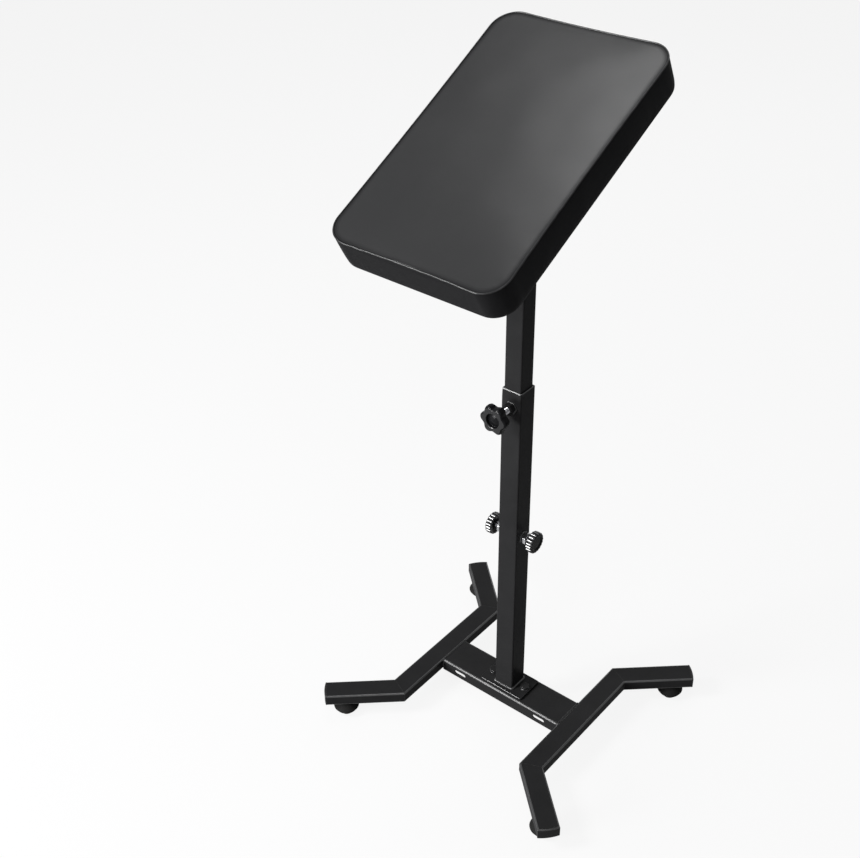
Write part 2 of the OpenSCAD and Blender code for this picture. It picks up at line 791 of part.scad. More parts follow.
module foam_core() {
    rings = concat(
        [at_z(outline(foam_gap + side_bow, 1), foam_low)],
        [for (t = side_shares) if (hem_low + (pad_top - edge_r - hem_low) * t > foam_low + edge_r)
            at_z(outline(foam_gap - bow(t), 1), hem_low + (pad_top - edge_r - hem_low) * t)],
        edge_rings(foam_gap), crown_rings(foam_gap));
    points = concat(flatten(rings), skin_top(foam_gap), [[0, 0, foam_low]]);
    top = len(rings) * ring_n;
    faces = concat(
        bands(0, len(rings)), fan((len(rings) - 1) * ring_n, top), flipped(fan(0, top + 1)));
    at_head() at_pad() polyhedron(points, faces);
}

// Colours as the photograph shows them
paint = "#1d1d1f";
moulded = "#111113";
rubber = "#161617";
zinc = "#c9cacc";
brass = "#b9975b";
nylon = "#e6e4dc";
vinyl = "#262628";
foam = "#e3c27a";
plywood = "#c59d6c";
fabric = "#0f0f10";

color(paint) in_place() rail_middle(1);  // rail_right_middle
color(paint) in_place() rail_end(1, -1);  // rail_right_near
color(paint) in_place() rail_end(1, 1);  // rail_right_far
color(paint) in_place() rail_middle(-1);  // rail_left_middle
color(paint) in_place() rail_end(-1, -1);  // rail_left_near
color(paint) in_place() rail_end(-1, 1);  // rail_left_far
color(moulded) in_place() end_cap(1, -1);  // end_cap_right_near
color(moulded) in_place() end_cap(1, 1);  // end_cap_right_far
color(moulded) in_place() end_cap(-1, -1);  // end_cap_left_near
color(moulded) in_place() end_cap(-1, 1);  // end_cap_left_far
color(rubber) in_place() foot(1, -1);  // foot_right_near
color(rubber) in_place() foot(1, 1);  // foot_right_far
color(rubber) in_place() foot(-1, -1);  // foot_left_near
color(rubber) in_place() foot(-1, 1);  // foot_left_far
color(zinc) in_place() foot_screws();
color(zinc) in_place() foot_inserts();
color(paint) in_place() crossbar();
color(paint) in_place() base_plate();
color(paint) in_place() plate_bolts();
color(zinc) in_place() plate_washers();
color(zinc) in_place() plate_nuts();
color(paint) in_place() outer_tube();
color(moulded) in_place() guide_bush();
color(paint) in_place() at_top_clamp() clamp_nut();  // top_clamp_nut
color(zinc) in_place() at_side_clamp(-1) clamp_nut();  // left_clamp_nut
color(zinc) in_place() at_side_clamp(1) clamp_nut();  // right_clamp_nut
color(nylon) in_place() at_top_clamp() pressure_pad();  // top_pressure_pad
color(zinc) in_place() at_top_clamp() clamp_screw(top_stem, star_hub + star_head);  // top_clamp_screw
color(moulded) in_place() at_top_clamp() top_knob();  // top_clamp_knob
color(nylon) in_place() at_side_clamp(-1) pressure_pad();  // left_pressure_pad
color(zinc) in_place() at_side_clamp(-1) clamp_screw(side_stem, flute_knob_t);  // left_clamp_screw
color(moulded) in_place() at_side_clamp(-1) fluted_knob();  // left_clamp_knob
color(nylon) in_place() at_side_clamp(1) pressure_pad();  // right_pressure_pad
color(zinc) in_place() at_side_clamp(1) clamp_screw(side_stem, flute_knob_t);  // right_clamp_screw
color(moulded) in_place() at_side_clamp(1) fluted_knob();  // right_clamp_knob
color(paint) in_place() inner_tube();
color(moulded) in_place() glide_plug();
color(moulded) in_place() top_plug();
color(zinc) in_place() tilt_sleeve();
color(paint) in_place() tilt_bracket();
color(nylon) in_place() friction_washers();
color(zinc) in_place() tilt_bolt();
color(zinc) in_place() hinge_washer(-tilt_washer_out);  // tilt_bolt_washer
color(zinc) in_place() hinge_washer(ear_out);  // tilt_knob_washer
color(moulded) in_place() tilt_knob();
color(brass) in_place() tilt_knob_insert();
color(paint) in_place() pad_plate();
color(zinc) in_place() pad_screws();
color(zinc) in_place() tee_nuts();
color(plywood) in_place() plywood_board();
color(foam) in_place() foam_core();
color(vinyl) in_place() vinyl_cover();
color(fabric) in_place() dust_cover();
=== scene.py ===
"""A height-adjustable arm rest stand with a tilting upholstered pad: its finish and its soft parts.

Metres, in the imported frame's own axes: X along the crossbar, Z up, the pad's low end towards -Y.
"""

import json
import math
import random

import bmesh
import bpy
from bpy.props import FloatProperty, FloatVectorProperty, IntProperty, PointerProperty
from mathutils import Matrix, Vector, noise


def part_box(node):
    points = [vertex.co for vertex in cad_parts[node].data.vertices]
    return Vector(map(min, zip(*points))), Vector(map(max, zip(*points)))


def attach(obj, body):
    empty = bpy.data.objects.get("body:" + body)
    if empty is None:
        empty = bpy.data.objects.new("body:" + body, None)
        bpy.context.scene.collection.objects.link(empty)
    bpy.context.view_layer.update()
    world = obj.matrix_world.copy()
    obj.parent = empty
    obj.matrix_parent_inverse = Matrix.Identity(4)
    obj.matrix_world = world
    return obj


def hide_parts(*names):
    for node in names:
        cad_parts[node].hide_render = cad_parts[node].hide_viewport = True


bl_info = {
    "name": "Arm Rest Stand",
    "version": (1, 0, 0),
    "blender": (4, 5, 0),
    "location": "View3D > Sidebar > Arm Rest",
    "description": "Finishes an arm rest stand: tubes, welds, knobs, threads, feet and the upholstered pad",
    "category": "Object",
}

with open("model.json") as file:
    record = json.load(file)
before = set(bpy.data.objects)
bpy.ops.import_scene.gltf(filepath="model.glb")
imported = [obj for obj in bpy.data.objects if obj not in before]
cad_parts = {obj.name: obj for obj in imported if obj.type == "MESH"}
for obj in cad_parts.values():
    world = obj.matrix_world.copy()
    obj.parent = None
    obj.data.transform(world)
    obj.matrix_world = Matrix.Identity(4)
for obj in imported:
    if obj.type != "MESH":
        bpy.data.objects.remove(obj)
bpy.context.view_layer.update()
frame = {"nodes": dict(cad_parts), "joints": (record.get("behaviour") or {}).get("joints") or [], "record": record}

# Measures taken from the frame

BODY_OF = {node: body for body, nodes in frame["record"]["behaviour"]["bodies"].items() for node in nodes}


def middle(node):
    """The middle of a node's box."""
    low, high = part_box(node)
    return (low + high) / 2


def local_box(node, place):
    """A node's box in the axes of place."""
    back = place.inverted()
    points = [back @ v.co for v in frame["nodes"][node].data.vertices]
    return (Vector([min(p[i] for p in points) for i in range(3)]),
            Vector([max(p[i] for p in points) for i in range(3)]))


def turned(angle, axis):
    """A turn about an axis through the origin."""
    return Matrix.Rotation(angle, 4, axis)


HINGE = next(j for j in frame["joints"] if j["name"] == "pad_tilt")
TILT = math.radians(-HINGE["range_deg"][0])
AT_HEAD = Matrix.Translation(HINGE["pos_m"]) @ turned(TILT, "X")
ALONG_HINGE = AT_HEAD @ turned(math.pi / 2, "Y")
AT_PAD = AT_HEAD @ Matrix.Translation((0, sum(v.y for v in local_box("plywood_board", AT_HEAD)) / 2, 0))
PAD_LOW, PAD_HIGH = local_box("vinyl_cover", AT_PAD)
COLUMN = middle("outer_tube")
OUTER_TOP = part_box("outer_tube")[1].z
PLATE_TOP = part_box("base_plate")[1].z
RAIL_LOW, RAIL_TOP = (corner.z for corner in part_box("rail_left_middle"))
# Local +Z points out of the column along each clamp's screw
CLAMPS = {
    "top": Matrix.Translation((COLUMN.x, COLUMN.y, middle("top_clamp_nut").z)) @ turned(math.pi / 2, "X"),
    "left": Matrix.Translation((COLUMN.x, COLUMN.y, middle("left_clamp_nut").z)) @ turned(-math.pi / 2, "Y"),
    "right": Matrix.Translation((COLUMN.x, COLUMN.y, middle("right_clamp_nut").z)) @ turned(math.pi / 2, "Y"),
}
CORNERS = [(side, end) for side in ("left", "right") for end in ("near", "far")]
CLAMP_BORE = 0.00505
MOUTH_CHAMFER = 0.0010


# Settings

class ArmRestSteel(bpy.types.PropertyGroup):
    """The painted frame: its tubes, plates and welds."""
    tube_round: FloatProperty(
        name="Tube corner radius", description="Outside radius of the tubes' long edges",
        default=0.0024, min=0.0005, max=0.004, unit="LENGTH")
    sheet_round: FloatProperty(
        name="Sheet edge radius", description="Radius of the cut edges of plates and sheets",
        default=0.0004, min=0.0001, max=0.001, unit="LENGTH")
    weld_width: FloatProperty(
        name="Weld width", description="Width of a weld bead",
        default=0.0052, min=0.002, max=0.008, unit="LENGTH")
    weld_pitch: FloatProperty(
        name="Weld ripple pitch", description="Distance between the ripples of a weld bead",
        default=0.0017, min=0.001, max=0.004, unit="LENGTH")
    paint: FloatVectorProperty(
        name="Paint", description="Colour of the powder coat",
        default=(0.0245, 0.0245, 0.0253), min=0, max=1, subtype="COLOR")


class ArmRestHardware(bpy.types.PropertyGroup):
    """Knobs, screws and nuts."""
    lobes: IntProperty(
        name="Lobes", description="Number of lobes of a star knob", default=6, min=3, max=9)
    lobe_depth: FloatProperty(
        name="Lobe depth", description="Depth of the hollows between the lobes, as a share of the radius",
        default=0.19, min=0.05, max=0.4, subtype="FACTOR")
    flutes: IntProperty(
        name="Flutes", description="Number of flutes of a fluted knob", default=18, min=8, max=36)
    flute_depth: FloatProperty(
        name="Flute depth", description="Depth of a flute",
        default=0.0016, min=0.0005, max=0.003, unit="LENGTH")
    pitch: FloatProperty(
        name="Thread pitch", description="Pitch of the clamp screws",
        default=0.0015, min=0.0005, max=0.003, unit="LENGTH")
    plastic: FloatVectorProperty(
        name="Knob plastic", description="Colour of the knobs",
        default=(0.008, 0.008, 0.009), min=0, max=1, subtype="COLOR")


class ArmRestPad(bpy.types.PropertyGroup):
    """The upholstered pad."""
    seam_drop: FloatProperty(
        name="Seam drop", description="How far the top seam lies below the top of the pad",
        default=0.0036, min=0, max=0.01, unit="LENGTH")
    shoulder: FloatProperty(
        name="Shoulder", description="How far the top panel may swell above its seam",
        default=0.0026, min=0.001, max=0.01, unit="LENGTH")
    side_swell: FloatProperty(
        name="Side swell", description="How far the side panel may swell",
        default=0.0014, min=0, max=0.004, unit="LENGTH")
    draw_in: FloatProperty(
        name="Draw in", description="How far the seam is drawn in between the corners",
        default=0.0018, min=0, max=0.005, unit="LENGTH")
    corner: FloatProperty(
        name="Corner radius", description="Radius of the pad's corners",
        default=0.034, min=0.01, max=0.06, unit="LENGTH")
    welt_radius: FloatProperty(
        name="Welt radius", description="Radius of the ridge along the top seam",
        default=0.00105, min=0.0005, max=0.003, unit="LENGTH")
    pressure: FloatProperty(
        name="Pressure", description="Pressure of the foam in the cloth simulation",
        default=4.0, min=0, max=20)
    vinyl: FloatVectorProperty(
        name="Vinyl", description="Colour of the vinyl",
        default=(0.0145, 0.0145, 0.0155), min=0, max=1, subtype="COLOR")


class ArmRestStage(bpy.types.PropertyGroup):
    """Camera, lamps, floor and backdrop."""
    camera_place: FloatVectorProperty(
        name="Camera", description="Place of the camera",
        default=(0.9276, -1.3064, 1.6735), subtype="TRANSLATION", unit="LENGTH")
    camera_azimuth: FloatProperty(
        name="Azimuth", description="Angle of the camera round the stand from its front",
        default=math.radians(39.79), subtype="ANGLE")
    camera_elevation: FloatProperty(
        name="Elevation", description="Angle by which the camera looks down",
        default=math.radians(34.55), subtype="ANGLE")
    camera_roll: FloatProperty(
        name="Roll", description="Angle of the camera round its own axis",
        default=math.radians(-0.81), subtype="ANGLE")
    lens: FloatProperty(
        name="Lens", description="Focal length in millimetres on a 36 mm sensor", default=55.42)
    floor: FloatVectorProperty(
        name="Floor", description="Colour of the floor and backdrop",
        default=(0.93, 0.93, 0.94), min=0, max=1, subtype="COLOR")


class ArmRestSettings(bpy.types.PropertyGroup):
    """All settings of the arm rest stand."""
    steel: PointerProperty(type=ArmRestSteel)
    hardware: PointerProperty(type=ArmRestHardware)
    pad: PointerProperty(type=ArmRestPad)
    stage: PointerProperty(type=ArmRestStage)


# Editing helpers

def activate(*objects):
    """Selects only these objects, the first as the active one."""
    if bpy.context.object and bpy.context.object.mode != "OBJECT":
        bpy.ops.object.mode_set(mode="OBJECT")
    bpy.ops.object.select_all(action="DESELECT")
    for obj in objects:
        obj.select_set(True)
    bpy.context.view_layer.objects.active = objects[0]


def edit(obj, kind="EDGE"):
    """Opens a mesh in edit mode with nothing selected."""
    activate(obj)
    bpy.ops.object.mode_set(mode="EDIT")
    bpy.ops.mesh.select_mode(type=kind)
    bpy.ops.mesh.select_all(action="DESELECT")


def edit_whole(obj):
    """Opens a mesh in edit mode with all of it selected."""
    edit(obj)
    bpy.ops.mesh.select_all(action="SELECT")


def leave_edit():
    """Goes back to object mode."""
    bpy.ops.object.mode_set(mode="OBJECT")


def turn_faces(obj, inside=False, merge=0.0):
    """Turns all faces outwards, or inwards, after merging the points closer than merge."""
    edit_whole(obj)
    if merge:
        bpy.ops.mesh.remove_doubles(threshold=merge)
    bpy.ops.mesh.normals_make_consistent(inside=inside)
    leave_edit()


def direction(edge):
    """The way that an edge runs, as a unit vector."""
    return (edge.verts[1].co - edge.verts[0].co).normalized()


def upright(edge):
    """Whether an edge runs along Z."""
    return abs(direction(edge).z) > 0.99


def select(obj, kind, test):
    """In edit mode, selects the vertices, edges or faces that pass a test, and says how many there are."""
    mesh = bmesh.from_edit_mesh(obj.data)
    mesh.normal_update()
    items = {"VERT": mesh.verts, "EDGE": mesh.edges, "FACE": mesh.faces}[kind]
    found = [item for item in items if test(item)]
    for item in found:
        item.select_set(True)
    mesh.select_flush_mode()
    bmesh.update_edit_mesh(obj.data)
    return len(found)


def run_modifiers(obj):
    """Applies an object's modifiers in their order."""
    activate(obj)
    for modifier in list(obj.modifiers):
        bpy.ops.object.modifier_apply(modifier=modifier.name)


def new_object(name, mesh):
    """An object in the scene for a mesh or a curve."""
    obj = bpy.data.objects.new(name, mesh)
    bpy.context.scene.collection.objects.link(obj)
    return obj


def cad_copy(node, name):
    """A copy of a CAD node with its loose triangles merged into whole flat faces."""
    obj = new_object(name, frame["nodes"][node].data.copy())
    obj.data.name = name
    edit_whole(obj)
    bpy.ops.mesh.customdata_custom_splitnormals_clear()
    bpy.ops.mesh.remove_doubles(threshold=2e-6)
    bpy.ops.mesh.dissolve_limited(angle_limit=math.radians(0.6))
    leave_edit()
    return obj


def lathe(name, profile, steps=48, closed=False):
    """A solid turned round the Z axis from (radius, height) points; a closed profile makes a ring."""
    mesh = bpy.data.meshes.new(name)
    pairs = [(i, i + 1) for i in range(len(profile) - 1)] + ([(len(profile) - 1, 0)] if closed else [])
    mesh.from_pydata([(r, 0, z) for r, z in profile], pairs, [])
    obj = new_object(name, mesh)
    edit_whole(obj)
    bpy.ops.mesh.spin(steps=steps, angle=math.tau, center=(0, 0, 0), axis=(0, 0, 1))
    leave_edit()
    turn_faces(obj, merge=1e-6)
    return obj


def bevel(obj, width, segments=2, angle=30):
    """Rounds every edge that is sharper than an angle."""
    modifier = obj.modifiers.new("Bevel", "BEVEL")
    modifier.width = width
    modifier.segments = segments
    modifier.limit_method = "ANGLE"
    modifier.angle_limit = math.radians(angle)
    modifier.miter_outer = "MITER_ARC"
    run_modifiers(obj)
    edit_whole(obj)
    bpy.ops.mesh.dissolve_degenerate(threshold=1e-6)
    leave_edit()


def bevel_edges(obj, width, segments, test):
    """Rounds the edges that pass a test."""
    edit(obj)
    if select(obj, "EDGE", test):
        bpy.ops.mesh.bevel(offset=width, offset_type="OFFSET", segments=segments, affect="EDGES")
    leave_edit()


def boolean(obj, other, operation):
    """Cuts or intersects a mesh with another, which is used up."""
    modifier = obj.modifiers.new("Boolean", "BOOLEAN")
    modifier.operation = operation
    modifier.solver = "EXACT"
    modifier.object = other
    run_modifiers(obj)
    bpy.data.objects.remove(other)


def join(name, objects):
    """Joins meshes into one object."""
    activate(*objects)
    bpy.ops.object.join()
    objects[0].name = name
    objects[0].data.name = name
    return objects[0]


def copies(obj, places):
    """A copy of a mesh at each place, each with its own mesh; the first one is used up."""
    made = []
    for place in places:
        copy = new_object(obj.name, obj.data.copy())
        copy.data.transform(place)
        made.append(copy)
    bpy.data.objects.remove(obj)
    return made


def lift(obj, height):
    """Moves a mesh along Z."""
    obj.data.transform(Matrix.Translation((0, 0, height)))
    return obj


def move_points(obj, function):
    """Moves each vertex to function(its place)."""
    for vertex in obj.data.vertices:
        vertex.co = function(vertex.co)
    obj.data.update()


def smooth(obj, angle=35):
    """Shades a mesh smooth, but not across edges sharper than an angle."""
    activate(obj)
    bpy.ops.object.shade_smooth_by_angle(angle=math.radians(angle))


def mark_faces(obj, value_of):
    """Writes value_of(face) to each face as how rounded and glossy it is, for the materials."""
    attribute = obj.data.attributes.new("rounded", "FLOAT", "FACE")
    attribute.data.foreach_set("value", [float(value_of(face)) for face in obj.data.polygons])


def mark_rounds(obj, width, also=lambda face: False):
    """Marks the faces narrower than width, which are the rounded edges, and those that pass also."""
    def narrow(face):
        points = [obj.data.vertices[i].co for i in face.vertices]
        around = sum((points[i] - points[i - 1]).length for i in range(len(points)))
        return 2 * face.area < width * around or also(face)
    mark_faces(obj, narrow)


def weigh_normals(obj):
    """Keeps large faces flat beside their rounded edges."""
    modifier = obj.modifiers.new("Weighted Normal", "WEIGHTED_NORMAL")
    modifier.keep_sharp = True
    modifier.weight = 80
    run_modifiers(obj)


def complete(obj, finish, body, *nodes, angle=35, flat=True):
    """Gives a piece its shading, material and slot, lets it ride on its body and stand for its nodes."""
    smooth(obj, angle)
    if flat:
        weigh_normals(obj)
    obj.data.materials.clear()
    obj.data.materials.append(material(finish))
    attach(obj, body)
    if nodes:
        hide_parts(*nodes)
    return obj


def dressed(node, name, finish, width, segments=2):
    """A CAD node's copy with its sharp edges rounded, which stands for the node."""
    obj = cad_copy(node, name)
    bevel(obj, width, segments)
    mark_rounds(obj, width)
    return complete(obj, finish, BODY_OF[node], node)


# Node trees

def add(tree, kind, inputs=None, **settings):
    """Adds a shader node; an input is given a value or is linked from a socket."""
    node = tree.nodes.new("ShaderNode" + kind)
    for name, value in settings.items():
        setattr(node, name, value)
    for name, value in (inputs or {}).items():
        put(tree, node.inputs[name], value)
    return node


def put(tree, socket, value):
    """Links a socket into another, or writes a value to it."""
    if isinstance(value, bpy.types.NodeSocket):
        tree.links.new(value, socket)
    else:
        socket.default_value = value


def calculate(tree, operation, a, b=0.0):
    """One sum on values."""
    return add(tree, "Math", {0: a, 1: b}, operation=operation).outputs[0]


def remap(tree, value, low, high, to_low, to_high, kind="LINEAR"):
    """A value carried over from one range to another."""
    return add(tree, "MapRange", {"Value": value, "From Min": low, "From Max": high,
                                  "To Min": to_low, "To Max": to_high}, interpolation_type=kind).outputs[0]


def speckle(tree, vector, scale, detail, roughness=0.5, **more):
    """A noise texture, as its outputs."""
    return add(tree, "TexNoise", {"Vector": vector, "Scale": scale, "Detail": detail,
                                  "Roughness": roughness, **more}).outputs


def blend_colours(tree, mask, a, b):
    """Colour a where the mask is 0, and b where it is 1."""
    mix = add(tree, "Mix", {0: mask}, data_type="RGBA")
    put(tree, mix.inputs[6], a)
    put(tree, mix.inputs[7], b)
    return mix.outputs[2]


def new_group(name, inputs, outputs):
    """An empty node group, with the outputs of its input node and the inputs of its output node."""
    tree = bpy.data.node_groups.new(name, "ShaderNodeTree")
    for socket, default in inputs.items():
        kind = "NodeSocketVector" if default is None else "NodeSocketFloat"
        made = tree.interface.new_socket(socket, in_out="INPUT", socket_type=kind)
        if default is not None:
            made.default_value = default
    for socket in outputs:
        tree.interface.new_socket(socket, in_out="OUTPUT", socket_type="NodeSocketFloat")
    return tree, tree.nodes.new("NodeGroupInput").outputs, tree.nodes.new("NodeGroupOutput").inputs


def fine_texture_group():
    """A fine surface texture and a slow mottling."""
    tree, given, result = new_group(
        "Fine Texture", {"Vector": None, "Grain Scale": 600.0, "Mottle Scale": 12.0}, ["Height", "Mottle"])
    grain = speckle(tree, given["Vector"], given["Grain Scale"], 3.0, 0.55)
    mottle = speckle(tree, given["Vector"], given["Mottle Scale"], 4.0, 0.6)
    put(tree, result["Height"], grain["Fac"])
    put(tree, result["Mottle"], remap(tree, mottle["Fac"], 0.3, 0.7, 0.0, 1.0))


def worn_edge_group():
    """Broken-up lighter marks along rounded edges: partly rubbed paint, partly a painted highlight."""
    tree, given, result = new_group(
        "Worn Edge", {"Vector": None, "Edge": 0.0, "Break Scale": 90.0, "Amount": 0.5}, ["Mask"])
    broken = speckle(tree, given["Vector"], given["Break Scale"], 5.0, 0.65)
    patches = remap(tree, broken["Fac"], 0.35, 0.7, 0.0, 1.0, "SMOOTHSTEP")
    edge = calculate(tree, "MULTIPLY", given["Edge"], given["Amount"])
    put(tree, result["Mask"], calculate(tree, "MULTIPLY", edge, patches))


def dust_group():
    """Fine dust that settles on what faces up."""
    tree, given, result = new_group(
        "Settled Dust", {"Vector": None, "Spread Scale": 30.0, "Amount": 0.3}, ["Mask"])
    normal = add(tree, "NewGeometry").outputs["Normal"]
    up = add(tree, "SeparateXYZ", {0: normal}).outputs["Z"]
    facing = remap(tree, up, 0.5, 1.0, 0.0, 1.0, "SMOOTHSTEP")
    spread = speckle(tree, given["Vector"], given["Spread Scale"], 8.0, 0.75)
    patches = remap(tree, spread["Fac"], 0.4, 0.75, 0.0, 1.0)
    amount = calculate(tree, "MULTIPLY", patches, given["Amount"])
    put(tree, result["Mask"], calculate(tree, "MULTIPLY", facing, amount))


def leather_grain_group():
    """Pebbled cells with creases between them, as on embossed vinyl."""
    tree, given, result = new_group(
        "Leather Grain", {"Vector": None, "Cell Scale": 900.0, "Crease Width": 0.12}, ["Height", "Crease"])
    drift = speckle(tree, given["Vector"], 350.0, 2.0)
    offset = add(tree, "VectorMath", {0: drift["Color"], "Scale": 0.0011}, operation="SCALE")
    place = add(tree, "VectorMath", {0: given["Vector"], 1: offset.outputs[0]}, operation="ADD")
    cells = add(tree, "TexVoronoi", {"Vector": place.outputs[0], "Scale": given["Cell Scale"]},
                feature="DISTANCE_TO_EDGE")
    raised = remap(tree, cells.outputs["Distance"], 0.0, given["Crease Width"], 0.0, 1.0, "SMOOTHSTEP")
    fine = calculate(tree, "MULTIPLY", speckle(tree, given["Vector"], 2600.0, 2.0)["Fac"], 0.35)
    put(tree, result["Height"], calculate(tree, "ADD", raised, fine))
    put(tree, result["Crease"], calculate(tree, "SUBTRACT", 1.0, raised))


def weave_group():
    """A plain weave in the X-Y plane of the vector."""
    tree, given, result = new_group("Plain Weave", {"Vector": None, "Threads": 1100.0}, ["Height", "Gap"])
    parts = add(tree, "SeparateXYZ", {0: given["Vector"]})
    waves = []
    for along, across, shift in (("X", "Y", 0.0), ("Y", "X", math.pi / 2)):
        turn = calculate(tree, "MULTIPLY", parts.outputs[along], given["Threads"])
        other = calculate(tree, "MULTIPLY", parts.outputs[across], given["Threads"])
        thread = calculate(tree, "ABSOLUTE", calculate(tree, "SINE", turn))
        over = calculate(tree, "SINE", calculate(tree, "ADD", other, shift))
        waves.append(calculate(tree, "MULTIPLY", thread, remap(tree, over, -1.0, 1.0, 0.35, 1.0)))
    height = calculate(tree, "MAXIMUM", *waves)
    put(tree, result["Height"], height)
    put(tree, result["Gap"], remap(tree, height, 0.2, 0.6, 1.0, 0.0))


def plies_group():
    """Glued plies with long grain, stacked along the vector's Z."""
    tree, given, result = new_group("Wood Plies", {"Vector": None, "Plies": 620.0}, ["Ply", "Grain"])
    parts = add(tree, "SeparateXYZ", {0: given["Vector"]})
    ply = calculate(tree, "SINE", calculate(tree, "MULTIPLY", parts.outputs["Z"], given["Plies"]))
    put(tree, result["Ply"], remap(tree, ply, -0.4, 0.4, 0.0, 1.0, "SMOOTHSTEP"))
    stretched = add(tree, "VectorMath", {0: given["Vector"], 1: (130.0, 9.0, 130.0)}, operation="MULTIPLY")
    put(tree, result["Grain"], speckle(tree, stretched.outputs[0], 1.0, 6.0, 0.65, Distortion=0.6)["Fac"])


GROUPS = {
    "Fine Texture": fine_texture_group, "Worn Edge": worn_edge_group, "Settled Dust": dust_group,
    "Leather Grain": leather_grain_group, "Plain Weave": weave_group, "Wood Plies": plies_group,
}


def use_group(tree, name, inputs):
    """Places a shared group, which is built when it is first used."""
    if name not in bpy.data.node_groups:
        GROUPS[name]()
    node = tree.nodes.new("ShaderNodeGroup")
    node.node_tree = bpy.data.node_groups[name]
    for socket, value in inputs.items():
        put(tree, node.inputs[socket], value)
    return node.outputs


def fine_texture(tree, place, grain, mottle):
    """The shared fine texture at two scales, as its outputs."""
    return use_group(tree, "Fine Texture", {"Vector": place, "Grain Scale": grain, "Mottle Scale": mottle})


def dusted(tree, place, spread, amount, colour, dust):
    """A colour under settled dust, with the mask of the dust."""
    given = {"Vector": place, "Spread Scale": spread, "Amount": amount}
    mask = use_group(tree, "Settled Dust", given)["Mask"]
    return blend_colours(tree, mask, colour, opaque(dust)), mask


def edge_gloss(tree, mottle, thinnest):
    """The coat on what mark_faces marked, thinner where the mottling is light."""
    edge = add(tree, "Attribute", attribute_name="rounded", attribute_type="GEOMETRY").outputs["Fac"]
    return edge, calculate(tree, "MULTIPLY", edge, remap(tree, mottle, 0.0, 1.0, 1.0, thinnest))


def along_pad(tree, place):
    """The place turned level with the pad's own plane."""
    return add(tree, "Mapping", {"Vector": place, "Rotation": (-TILT, 0.0, 0.0)}).outputs[0]


def finish_name(slot):
    """The name of a finish, which differs from that of the CAD's own plain material."""
    return slot.replace("_", " ").title()


def new_material(name, **constants):
    """A Principled material with its constant values on the shader's own sockets."""
    made = bpy.data.materials.new(finish_name(name))
    made.use_nodes = True
    tree = made.node_tree
    shader = tree.nodes["Principled BSDF"]
    for socket, value in constants.items():
        shader.inputs[socket.replace("_", " ")].default_value = value
    place = add(tree, "TexCoord").outputs["Object"]
    return made, tree, shader, place


def set_bump(tree, shader, height, depth, strength):
    """Gives the shader a bump with a depth in metres."""
    bump = add(tree, "Bump", {"Height": height, "Distance": depth, "Strength": strength})
    tree.links.new(bump.outputs[0], shader.inputs["Normal"])


def feed(tree, shader, **sockets):
    """Links sockets to the shader's inputs, whose spaces are written as underscores."""
    for socket, value in sockets.items():
        tree.links.new(value, shader.inputs[socket.replace("_", " ")])


def opaque(colour, scale=1.0):
    """A colour made lighter or darker, with nothing showing through."""
    return (*[min(1.0, c * scale) for c in colour[:3]], 1.0)


# Materials

def mottled(name, scales, dark, light, rough, bump, gloss=None, **constants):
    """A finish of one slowly varying colour with a fine texture; gloss gives its rounded edges a coat.

    scales are those of the texture and the mottling, and bump is a depth and a strength."""
    made, tree, shader, place = new_material(name, **constants)
    texture = fine_texture(tree, place, *scales)
    mottle = texture["Mottle"]
    feed(tree, shader, Base_Color=blend_colours(tree, mottle, opaque(dark), opaque(light)),
         Roughness=remap(tree, mottle, 0.0, 1.0, *rough))
    if gloss is not None:
        feed(tree, shader, Coat_Weight=edge_gloss(tree, mottle, gloss)[1])
    set_bump(tree, shader, texture["Height"], *bump)
    return made


def painted_steel(settings):
    """Satin black powder coat with orange peel, thinner and glossier along the edges, and lighter there from
    rubbed paint and a painted highlight.
    """
    made, tree, shader, place = new_material(
        "painted_steel", Specular_IOR_Level=0.045, Coat_Roughness=0.32, Coat_IOR=2.1)
    paint = settings.steel.paint
    texture = fine_texture(tree, place, 850.0, 16.0)
    mottle = texture["Mottle"]
    edge, gloss = edge_gloss(tree, mottle, 0.7)
    wear_and_highlight = use_group(tree, "Worn Edge", {"Vector": place, "Edge": edge, "Break Scale": 110.0, "Amount": 0.25})
    tone = blend_colours(tree, mottle, opaque(paint, 0.88), opaque(paint, 1.12))
    # The rounded edges are lighter: partly rubbed paint, partly a painted highlight.
    worn_and_highlit = blend_colours(tree, wear_and_highlight["Mask"], tone, opaque((0.07, 0.07, 0.072)))
    dusty, dust = dusted(tree, place, 45.0, 0.012, worn_and_highlit, (0.16, 0.155, 0.15))
    base = remap(tree, mottle, 0.0, 1.0, 0.34, 0.44)
    rough = calculate(tree, "ADD", base, calculate(tree, "MULTIPLY", dust, 0.6))
    feed(tree, shader, Base_Color=dusty, Roughness=rough, Coat_Weight=gloss)
    set_bump(tree, shader, texture["Height"], 0.00006, 0.4)
    return made


def moulded_plastic(settings):
    """Black moulded plastic with a fine spark texture."""
    return mottled("moulded_plastic", (1600.0, 25.0), (0.0105, 0.0105, 0.011), (0.014, 0.014, 0.0145),
                   (0.44, 0.54), (0.00008, 0.7), 0.8,
                   Specular_IOR_Level=0.2, Coat_Roughness=0.18, Coat_IOR=1.9)


def knob_plastic(settings):
    """Glossy black thermoplastic with faint flow marks and fingerprints in the gloss."""
    colour = settings.hardware.plastic
    return mottled("knob_plastic", (420.0, 70.0), opaque(colour, 0.85), opaque(colour, 1.25), (0.16, 0.28),
                   (0.00005, 0.35), 0.8, Specular_IOR_Level=0.10, Coat_Roughness=0.14, Coat_IOR=2.3)


